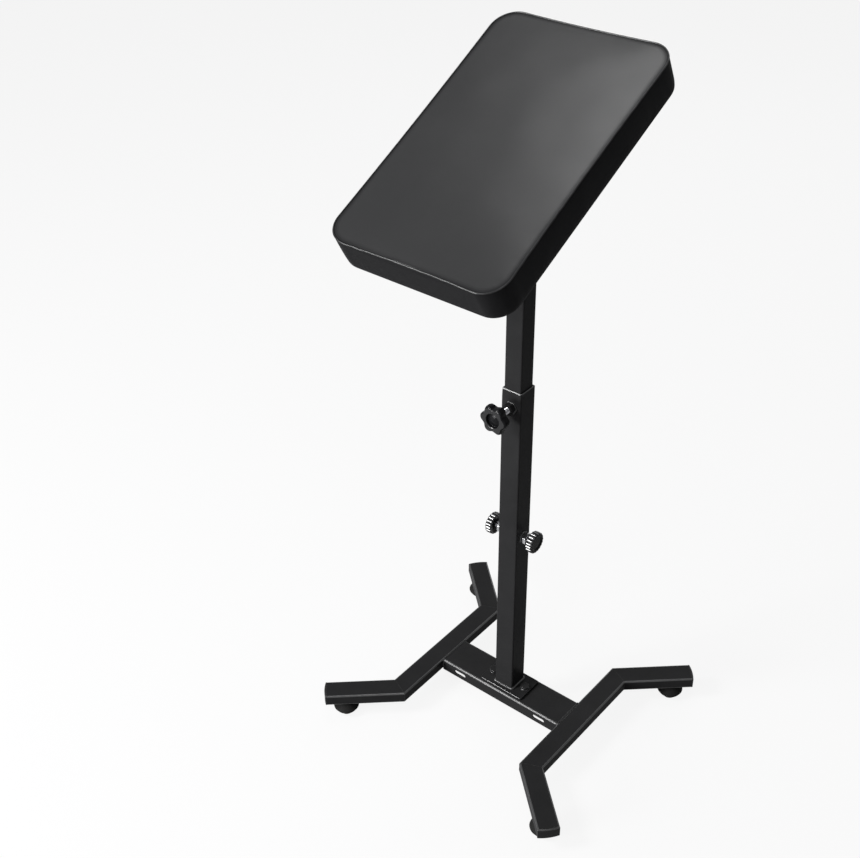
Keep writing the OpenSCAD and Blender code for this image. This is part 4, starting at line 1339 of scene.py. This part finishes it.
class ARMREST_OT_tilt_joint(bpy.types.Operator):
    """Dress the bracket, bolt and washers of the tilt joint"""
    bl_idname = "armrest.tilt_joint"
    bl_label = "Tilt joint"

    def execute(self, context):
        steel = context.scene.arm_rest.steel
        bracket = cad_copy("tilt_bracket", "tilt_bracket_sheet")
        high = local_box("tilt_bracket", AT_HEAD)[1]
        back = AT_HEAD.inverted()

        def outer_fold(edge):
            ends = [back @ v.co for v in edge.verts]
            return all(abs(abs(p.x) - high.x) < 1e-5 and abs(p.z - high.z) < 1e-5 for p in ends)

        fold_round = 0.0042
        bevel_edges(bracket, fold_round, 6, outer_fold)
        bevel(bracket, steel.sheet_round, 2, 40)
        mark_rounds(bracket, steel.sheet_round)
        complete(bracket, "painted_steel", "head", "tilt_bracket")

        bolt_low, bolt_high = local_box("tilt_bolt", ALONG_HINGE)
        washer_low = local_box("tilt_bolt_washer", ALONG_HINGE)[0]
        radius, pitch = 0.005, 0.0015
        head = hexagon("tilt_bolt_head", bolt_high.y * 2, washer_low.z - bolt_low.z)
        head.data.transform(turned(math.pi, "X"))
        rod = threaded_rod("tilt_bolt_thread", radius, washer_low.z - 0.001, bolt_high.z, pitch)
        bolt = join("tilt_hex_bolt", [lift(head, washer_low.z), rod])
        bolt.data.transform(ALONG_HINGE)
        complete(bolt, "zinc_steel", "head", "tilt_bolt")
        for node, name, finish, width in (
                ("friction_washers", "friction_discs", "nylon", 0.0002),
                ("tilt_bolt_washer", "tilt_bolt_flat_washer", "zinc_steel", 0.0003),
                ("tilt_knob_washer", "tilt_knob_flat_washer", "zinc_steel", 0.0003),
                ("tilt_knob_insert", "tilt_knob_brass_insert", "brass", 0.0003),
                ("tilt_sleeve", "tilt_spacer_sleeve", "zinc_steel", 0.0003)):
            dressed(node, name, finish, width)
        return {"FINISHED"}


class ARMREST_OT_pad_mount(bpy.types.Operator):
    """Dress the plate under the pad with its welds and screws, and the board inside"""
    bl_idname = "armrest.pad_mount"
    bl_label = "Pad mount"

    def execute(self, context):
        steel = context.scene.arm_rest.steel
        dressed("pad_plate", "pad_mounting_plate", "painted_steel", 0.0006, 3)
        plate_low = local_box("pad_plate", AT_PAD)[0]
        web_low, web_high = local_box("tilt_bracket", AT_PAD)
        beads = []
        for side in (-1, 1):
            x, z = side * web_high.x, plate_low.z - 0.0004
            path = [AT_PAD @ Vector((x, y, z)) for y in (web_low.y + 0.004, web_high.y - 0.004)]
            beads.append(weld_bead("bracket_weld", path, steel, share=0.9, seed=side + 11))
        complete(join("bracket_welds", beads), "painted_steel", "head", angle=60)

        low, high = local_box("pad_screws", AT_PAD)
        radius, head_r, pitch = 0.003, 0.0057, 0.001
        screw = pan_screw("pad_screw", radius, head_r, plate_low.z - low.z, high.z - plate_low.z, pitch)
        places = [AT_PAD @ Matrix.Translation((x, y, plate_low.z))
                  for x in (head_r - high.x, high.x - head_r) for y in (low.y + head_r, high.y - head_r)]
        complete(join("pad_pan_screws", copies(screw, places)), "zinc_steel", "head", "pad_screws")
        dressed("tee_nuts", "board_tee_nuts", "zinc_steel", 0.0002)
        dressed("plywood_board", "pad_board", "plywood", 0.0008)
        return {"FINISHED"}


# Upholstery

HEM_TURN = 0.0022
HEM_WIDTH = 0.024


def waviness(point, spread, height, amount):
    """Smooth unevenness over the pad, of up to about amount, that changes spread times in a metre."""
    return amount * noise.noise(Vector((point.x * spread, point.y * spread, height)))


class Outline:
    """The pad's rounded outline at an inset from its sides, in the pad's own axes."""

    def __init__(self, inset=0.0):
        corner = bpy.context.scene.arm_rest.pad.corner
        self.half = Vector(((PAD_HIGH.x - PAD_LOW.x) / 2 - inset, (PAD_HIGH.y - PAD_LOW.y) / 2 - inset))
        self.radius = corner - inset

    def past_corner(self, point):
        """How far a point lies past the centre of its corner, along X and Y."""
        return Vector((abs(point.x) - self.half.x + self.radius, abs(point.y) - self.half.y + self.radius))

    def depth(self, point):
        """How far a point lies inside the outline."""
        past = self.past_corner(point)
        return self.radius - (past.length if min(past) > 0 else max(past))

    def outward(self, point):
        """The outline's outward direction nearest to a point."""
        past = self.past_corner(point)
        sign_x, sign_y = math.copysign(1, point.x), math.copysign(1, point.y)
        if past.x > 0 and past.y > 0:
            past.normalize()
            return Vector((past.x * sign_x, past.y * sign_y, 0))
        if past.x > past.y:
            return Vector((sign_x, 0, 0))
        return Vector((0, sign_y, 0))

    def round_corners(self, point):
        """Draws a point of the full rectangle into the rounded one."""
        past = self.past_corner(point)
        if past.x > 0 and past.y > 0:
            drawn = past * max(past) / past.length
            return Vector((math.copysign(abs(point.x) - past.x + drawn.x, point.x),
                           math.copysign(abs(point.y) - past.y + drawn.y, point.y), point.z))
        return point.copy()

    def along_side(self, point):
        """0 at the corners and 1 in the middle of a side."""
        if self.past_corner(point).x > self.past_corner(point).y:
            share = abs(point.y) / (self.half.y - self.radius)
        else:
            share = abs(point.x) / (self.half.x - self.radius)
        return max(0.0, 1 - share ** 2)

    def grid(self, name, columns, rows, height):
        """A grid over the whole outline, its corners drawn round."""
        bpy.ops.mesh.primitive_grid_add(x_subdivisions=columns, y_subdivisions=rows, size=1)
        obj = bpy.context.object
        obj.name = name
        size = self.half * 2
        move_points(obj, lambda p: self.round_corners(Vector((p.x * size.x, p.y * size.y, height))))
        return obj


def extrude_ring(obj, place):
    """Extrudes the selected ring of edges and puts each new point at place(old place)."""
    bpy.ops.mesh.extrude_region_move()
    mesh = bmesh.from_edit_mesh(obj.data)
    for vertex in mesh.verts:
        if vertex.select:
            vertex.co = place(vertex.co)
    bmesh.update_edit_mesh(obj.data)


def offset_ring(outline, outward, height):
    """A function that moves a ring to a distance out from the outline and to a height."""
    def place(point):
        moved = point + outline.outward(point) * (outward + outline.depth(point))
        return Vector((moved.x, moved.y, height))
    return place


class ARMREST_OT_cushion(bpy.types.Operator):
    """Sew the vinyl cover round the foam and let a cloth simulation swell it against its seams"""
    bl_idname = "armrest.cushion"
    bl_label = "Cushion"

    def execute(self, context):
        pad = context.scene.arm_rest.pad
        outline = Outline()
        seam = PAD_HIGH.z - pad.seam_drop
        base = PAD_LOW.z
        board_low, board_high = local_box("plywood_board", AT_PAD)
        board_inset = PAD_HIGH.x - board_high.x

        cushion = outline.grid("cushion", 54, 84, seam)
        edit(cushion)
        ring = select(cushion, "EDGE", lambda e: e.is_boundary)
        rows = 10
        for row in range(1, rows + 1):
            extrude_ring(cushion, offset_ring(outline, 0.0, seam + (base + HEM_TURN - seam) * row / rows))
        turns = [(-0.0003, 0.0011), (-0.0010, 0.0004), (-HEM_TURN, 0.0)]
        hem = [(-0.006, 0.0), (-0.011, 0.0), (-0.017, 0.0), (0.0008 - HEM_WIDTH, 0.0),
               (-HEM_WIDTH, 0.0003), (-HEM_WIDTH, 0.0009)]
        fit = 0.0002
        inside = [(fit - board_inset, board_low.z - 0.0003 - base),
                  (fit - board_inset, board_high.z + fit - base)]
        for outward, rise in turns + hem:
            extrude_ring(cushion, offset_ring(outline, outward, base + rise))
        leave_edit()
        turn_faces(cushion)

        kinds = [self.kind(v.co, seam, base, outline) for v in cushion.data.vertices]
        start = [v.co.copy() for v in cushion.data.vertices]
        self.swell(cushion, kinds, pad)
        swollen = [v.co.copy() for v in cushion.data.vertices]
        for i, vertex in enumerate(cushion.data.vertices):
            vertex.co = self.shaped(start[i], swollen[i], kinds[i], seam, base, outline, pad)

        seam_path = self.crease_seam(cushion, kinds, ring)
        divide = cushion.modifiers.new("Subdivision", "SUBSURF")
        divide.levels = divide.render_levels = 1
        run_modifiers(cushion)

        edit(cushion)
        select(cushion, "EDGE", lambda e: e.is_boundary)
        for outward, rise in inside:
            extrude_ring(cushion, offset_ring(outline, outward, base + rise))
        bpy.ops.mesh.edge_face_add()
        leave_edit()
        turn_faces(cushion)
        mark_faces(cushion, lambda face: (face.normal.z > 0.3) * min(1.0, outline.depth(face.center) / 0.008))
        cushion.data.transform(AT_PAD)
        complete(cushion, "vinyl", "head", "vinyl_cover", "foam_core", angle=60, flat=False)

        radii = [pad.welt_radius * (1 + 0.10 * noise.noise(p * 120)) for p in seam_path]
        welt = sweep("pad_welt", seam_path, radii, True, 12)
        mark_faces(welt, lambda face: 0.8)
        welt.data.transform(AT_PAD)
        complete(welt, "vinyl", "head", angle=60, flat=False)
        return {"FINISHED"}

    def kind(self, point, seam, base, outline):
        """Which panel a point belongs to."""
        if point.z > seam - 1e-5:
            return "seam" if outline.depth(point) < 1e-5 else "top"
        beside = point.z > base + HEM_TURN + 0.0001 and outline.half.x - abs(point.x) < outline.radius
        return "side" if beside else "held"

    def swell(self, cushion, kinds, pad):
        """Runs the cloth simulation with the seam and the hem pinned."""
        scene = bpy.context.scene
        group = cushion.vertex_groups.new(name="held")
        group.add([i for i, kind in enumerate(kinds) if kind in ("seam", "held")], 1.0, "REPLACE")
        modifier = cushion.modifiers.new("Cloth", "CLOTH")
        cloth = modifier.settings
        cloth.quality = 6
        cloth.mass = 0.4
        cloth.tension_stiffness = cloth.compression_stiffness = 24
        cloth.shear_stiffness = 12
        cloth.bending_stiffness = 1.2
        cloth.vertex_group_mass = "held"
        cloth.use_pressure = True
        cloth.uniform_pressure_force = pad.pressure
        cloth.effector_weights.gravity = 0.0
        modifier.collision_settings.use_collision = False
        for number in range(1, 21):
            scene.frame_set(number)
        run_modifiers(cushion)
        cushion.vertex_groups.clear()
        scene.frame_set(1)

    def shaped(self, start, swollen, kind, seam, base, outline, pad):
        """Caps how far a point has swollen, and adds the crown, the drawn-in sides and small puckers."""
        if kind == "held":
            return start
        out = outline.outward(start)
        side = outline.along_side(start)
        corner = 1 - side
        if kind == "top":
            from_seam = outline.depth(start)
            if (swollen - start).length > 1e-6:
                rise = pad.shoulder * math.tanh((swollen.z - start.z) / pad.shoulder)
            else:
                rise = pad.shoulder
            rise = min(rise, pad.shoulder * (1 - math.exp(-from_seam / 0.0048)))
            crown = 0.0010 * (1 - (start.x / outline.half.x) ** 2) * (1 - (start.y / outline.half.y) ** 2)
            slow = waviness(start, 14, 3.1, 0.0006)
            pucker = self.pucker(start, out, from_seam, corner)
            pull = -out * pad.draw_in * side * math.exp(-from_seam / 0.012)
            return start + Vector((0, 0, rise + crown + slow + pucker)) + pull
        if kind == "seam":
            wander = waviness(start, 60, 5.0, 0.00035)
            return start - out * (pad.draw_in * side + wander) + Vector((0, 0, wander))
        down = (seam - start.z) / (seam - base)
        moved = (swollen - start).dot(out)
        bulge = pad.side_swell * math.tanh(moved / pad.side_swell) if moved > 1e-6 else 0.0
        bulge = max(bulge, pad.side_swell * 0.7 * math.sin(math.pi * min(1.0, down)) ** 0.6)
        pull = pad.draw_in * side * (1 - down) ** 2
        uneven = waviness(start, 22, start.z * 30, 0.0005)
        fold = waviness(start, 150, start.z * 25, 0.0006) * corner ** 2
        low_edge = waviness(start, 75, 8.0, 0.0007) * down ** 3
        return start + out * (bulge - pull + uneven + fold + low_edge)

    def pucker(self, start, out, from_seam, corner):
        """Small gathers across the seam, strongest at the corners."""
        along = start.x * out.y - start.y * out.x
        wave = noise.noise(Vector((along * 95, out.x * 3, out.y * 3)))
        return wave * (0.00022 + 0.00055 * corner ** 2) * math.exp(-from_seam / 0.010)

    def crease_seam(self, cushion, kinds, ring):
        """Creases the seam for the subdivision, and gives its points in order."""
        edges = [e for e in cushion.data.edges if all(kinds[i] == "seam" for i in e.vertices)]
        creases = cushion.data.attributes.new("crease_edge", "FLOAT", "EDGE")
        beside = {}
        for edge in edges:
            creases.data[edge.index].value = 0.9
            a, b = edge.vertices
            beside.setdefault(a, []).append(b)
            beside.setdefault(b, []).append(a)
        if len(beside) != ring:
            raise RuntimeError(f"the seam has {len(beside)} points and not {ring}")
        order = [edges[0].vertices[0], edges[0].vertices[1]]
        while len(order) < ring:
            order.append(next(i for i in beside[order[-1]] if i != order[-2]))
        return [cushion.data.vertices[i].co.copy() for i in order]


class ARMREST_OT_dust_cover(bpy.types.Operator):
    """Stretch the dust cloth over the hem, with a folded border"""
    bl_idname = "armrest.dust_cover"
    bl_label = "Dust cover"

    def execute(self, context):
        low, high = local_box("dust_cover", AT_PAD)
        plate_high = local_box("pad_plate", AT_PAD)[1]
        outline = Outline(PAD_HIGH.x - high.x)
        thick, fold, border = 0.0004, 0.0003, 0.010
        top = low.z + thick
        sheet = outline.grid("dust_cloth", 64, 96, low.z)

        def hung(point):
            from_edge = outline.depth(point)
            over = max(abs(point.x) / plate_high.x, abs(point.y) / plate_high.y)
            away = min(1.0, max(0.0, (over - 1.0) * 2.2)) * min(1.0, from_edge / 0.03)
            sag = 0.0007 * away * (0.75 + waviness(point, 18, 1.0, 0.5))
            step = fold * min(1.0, max(0.0, (border - from_edge) / 0.0012))
            pull = waviness(point, 130, 4.0, 0.00012) * (from_edge < 0.02)
            return Vector((point.x, point.y, point.z - sag - step + pull))

        move_points(sheet, hung)
        turn_faces(sheet)
        edit(sheet)
        select(sheet, "EDGE", lambda e: e.is_boundary)
        extrude_ring(sheet, lambda p: Vector((p.x, p.y, top)))
        extrude_ring(sheet, offset_ring(outline, -border, top))
        bpy.ops.mesh.edge_face_add()
        leave_edit()
        turn_faces(sheet)
        sheet.data.transform(AT_PAD)
        complete(sheet, "dust_fabric", "head", "dust_cover", angle=45, flat=False)
        return {"FINISHED"}


class ARMREST_OT_staples(bpy.types.Operator):
    """Drive the staples that hold the dust cloth and the hem"""
    bl_idname = "armrest.staples"
    bl_label = "Staples"

    def execute(self, context):
        crown, wire, tall = 0.0100, 0.0011, 0.0006
        border, pitch = 0.0055, 0.036
        low, high = local_box("dust_cover", AT_PAD)
        bpy.ops.mesh.primitive_cube_add(size=1)
        staple = bpy.context.object
        staple.name = "staple"
        staple.scale = (crown, wire, tall)
        bpy.ops.object.transform_apply(location=True, rotation=True, scale=True)
        bevel(staple, wire * 0.28, 2, 30)
        rng = random.Random(11)
        outline = Outline(PAD_HIGH.x - high.x + border)
        path = rounded_rectangle(outline.half.x, outline.half.y, outline.radius, 0.001)
        places, travelled, last = [], pitch, path[-1][0]
        for point, out in path:
            travelled += (point - last).length
            last = point
            if travelled >= pitch:
                travelled = rng.uniform(-0.004, 0.004)
                angle = math.atan2(out.y, out.x) + math.pi / 2 + rng.uniform(-0.16, 0.16)
                shift = out * rng.uniform(-0.0014, 0.0014)
                place = Matrix.Translation((point.x + shift.x, point.y + shift.y, low.z - 0.0005))
                places.append(AT_PAD @ place @ turned(angle, "Z"))
        complete(join("hem_staples", copies(staple, places)), "zinc_steel", "head")
        return {"FINISHED"}


class ARMREST_OT_remaining_parts(bpy.types.Operator):
    """Give every CAD part that stays as it is its finish"""
    bl_idname = "armrest.remaining_parts"
    bl_label = "Remaining parts"

    def execute(self, context):
        for node, obj in frame["nodes"].items():
            for slot in obj.material_slots:
                finish = slot.name.split(".")[0]
                if not slot.material or finish not in FINISHES:
                    raise RuntimeError(f"{node} has the slot {slot.name}")
                slot.link = "OBJECT"
                slot.material = material(finish)
        return {"FINISHED"}


# Stage

def seen_directly(tree, mirrored=1.0):
    """1 for camera rays, mirrored for what metal and glass show, 0 for the light that the backdrop throws."""
    rays = add(tree, "LightPath").outputs
    shown = calculate(tree, "MAXIMUM", rays["Is Glossy Ray"], rays["Is Transmission Ray"])
    return calculate(tree, "MAXIMUM", rays["Is Camera Ray"], calculate(tree, "MULTIPLY", shown, mirrored))


class ARMREST_OT_stage(bpy.types.Operator):
    """Set up the pale floor and backdrop, the lamps, the world and the camera"""
    bl_idname = "armrest.stage"
    bl_label = "Stage"

    def execute(self, context):
        stage = context.scene.arm_rest.stage
        self.backdrop(stage)
        self.lamp("key_softbox", (-1.45, -2.05, 2.33), (0.9, 0.9), 60)
        self.lamp("front_softbox", (-1.30, -3.20, 0.75), (1.2, 0.8), 88)
        self.lamp("overhead_softbox", (-0.55, 0.35, 2.90), (0.8, 0.8), 6.5)
        self.lamp("edge_softbox", (1.15, -1.15, 2.35), (0.6, 0.6), 6)
        self.lamp("back_softbox", (-1.2, 2.6, 2.0), (1.0, 1.0), 8)
        self.world(context)
        self.camera(context, stage)
        context.scene.view_settings.view_transform = "Standard"
        return {"FINISHED"}

    def backdrop(self, stage):
        """A floor that curves up into a wall all round, seen from inside only."""
        flat, radius, tall = 6.5, 1.6, 4.0
        profile = [(0, 0), (1.0, 0), (flat, 0)]
        profile += [(flat + radius * math.sin(a), radius - radius * math.cos(a))
                    for a in (math.pi / 2 * i / 12 for i in range(1, 13))]
        profile.append((flat + radius, tall))
        bowl = lathe("backdrop", profile, 72)
        turn_faces(bowl, inside=True)
        smooth(bowl, 60)
        made, tree, shader, _ = new_material("backdrop_paper", Roughness=0.9, Specular_IOR_Level=0.1)
        seen = seen_directly(tree, 0.3)
        paper = blend_colours(tree, seen, opaque(stage.floor, 0.28), opaque(stage.floor))
        feed(tree, shader, Base_Color=paper)
        glow = add(tree, "Emission", {"Color": (1.0, 1.0, 1.0, 1.0), "Strength": 1.0})
        lit = add(tree, "MixShader", {0: calculate(tree, "MULTIPLY", seen_directly(tree, 0.25), 0.88),
                                      1: shader.outputs[0], 2: glow.outputs[0]})
        back = add(tree, "NewGeometry").outputs["Backfacing"]
        clear = add(tree, "BsdfTransparent")
        final = add(tree, "MixShader", {0: back, 1: lit.outputs[0], 2: clear.outputs[0]})
        tree.links.new(final.outputs[0], tree.nodes["Material Output"].inputs["Surface"])
        bowl.data.materials.append(made)

    def lamp(self, name, place, size, power):
        """A rectangular softbox that faces the middle of the stand."""
        turn = (Vector((0, 0, 0.55)) - Vector(place)).to_track_quat("-Z", "Y").to_euler()
        bpy.ops.object.light_add(type="AREA", location=place, rotation=turn)
        light = bpy.context.object
        light.name = name
        light.data.shape = "RECTANGLE"
        light.data.size, light.data.size_y = size
        light.data.energy = power
        light.visible_camera = False

    def world(self, context):
        """A pale surround, bright where it is seen and weak as a light."""
        world = bpy.data.worlds.new("studio")
        context.scene.world = world
        world.use_nodes = True
        tree = world.node_tree
        background = tree.nodes["Background"]
        background.inputs["Color"].default_value = (0.98, 0.99, 1.0, 1.0)
        strength = remap(tree, seen_directly(tree, 0.3), 0.0, 1.0, 0.13, 0.97)
        tree.links.new(strength, background.inputs["Strength"])

    def camera(self, context, stage):
        """The camera at the photograph's place, turned by azimuth, elevation and roll."""
        azimuth, elevation, roll = stage.camera_azimuth, stage.camera_elevation, stage.camera_roll
        back = Vector((math.sin(azimuth) * math.cos(elevation), -math.cos(azimuth) * math.cos(elevation),
                       math.sin(elevation)))
        level = Vector((math.cos(azimuth), math.sin(azimuth), 0))
        above = back.cross(level)
        right = level * math.cos(roll) + above * math.sin(roll)
        up = back.cross(right)
        matrix = Matrix((right, up, back)).transposed().to_4x4()
        matrix.translation = stage.camera_place
        bpy.ops.object.camera_add()
        camera = bpy.context.object
        camera.matrix_world = matrix
        camera.data.lens = stage.lens
        camera.data.sensor_width = 36.0
        camera.data.clip_start = 0.05
        context.scene.camera = camera


# Add-on

SETTINGS = (ArmRestSteel, ArmRestHardware, ArmRestPad, ArmRestStage, ArmRestSettings)
STEPS = (
    ARMREST_OT_rails, ARMREST_OT_end_caps, ARMREST_OT_feet, ARMREST_OT_foot_screws, ARMREST_OT_crossbar,
    ARMREST_OT_plate_bolts, ARMREST_OT_base_welds, ARMREST_OT_mitre_welds, ARMREST_OT_column,
    ARMREST_OT_clamp_nuts, ARMREST_OT_clamp_screws, ARMREST_OT_star_knobs, ARMREST_OT_fluted_knobs,
    ARMREST_OT_tilt_joint, ARMREST_OT_pad_mount, ARMREST_OT_cushion, ARMREST_OT_dust_cover,
    ARMREST_OT_staples, ARMREST_OT_remaining_parts, ARMREST_OT_stage,
)


class VIEW3D_PT_arm_rest(bpy.types.Panel):
    """Lists the settings and the steps of the arm rest stand"""
    bl_label = "Arm Rest Stand"
    bl_space_type = "VIEW_3D"
    bl_region_type = "UI"
    bl_category = "Arm Rest"

    def draw(self, context):
        settings = context.scene.arm_rest
        for name in ("steel", "hardware", "pad", "stage"):
            box = self.layout.box()
            box.label(text=name.capitalize())
            group = getattr(settings, name)
            for key in group.__annotations__:
                box.prop(group, key)
        for step in STEPS:
            self.layout.operator(step.bl_idname)


CLASSES = SETTINGS + STEPS + (VIEW3D_PT_arm_rest,)


def register():
    for cls in CLASSES:
        bpy.utils.register_class(cls)
    bpy.types.Scene.arm_rest = PointerProperty(type=ArmRestSettings)


def unregister():
    del bpy.types.Scene.arm_rest
    for cls in reversed(CLASSES):
        bpy.utils.unregister_class(cls)


def main():
    register()
    bpy.ops.armrest.rails()
    bpy.ops.armrest.end_caps()
    bpy.ops.armrest.feet()
    bpy.ops.armrest.foot_screws()
    bpy.ops.armrest.crossbar()
    bpy.ops.armrest.plate_bolts()
    bpy.ops.armrest.base_welds()
    bpy.ops.armrest.mitre_welds()
    bpy.ops.armrest.column()
    bpy.ops.armrest.clamp_nuts()
    bpy.ops.armrest.clamp_screws()
    bpy.ops.armrest.star_knobs()
    bpy.ops.armrest.fluted_knobs()
    bpy.ops.armrest.tilt_joint()
    bpy.ops.armrest.pad_mount()
    bpy.ops.armrest.cushion()
    bpy.ops.armrest.dust_cover()
    bpy.ops.armrest.staples()
    bpy.ops.armrest.remaining_parts()
    bpy.ops.armrest.stage()


if __name__ == "__main__":
    main()
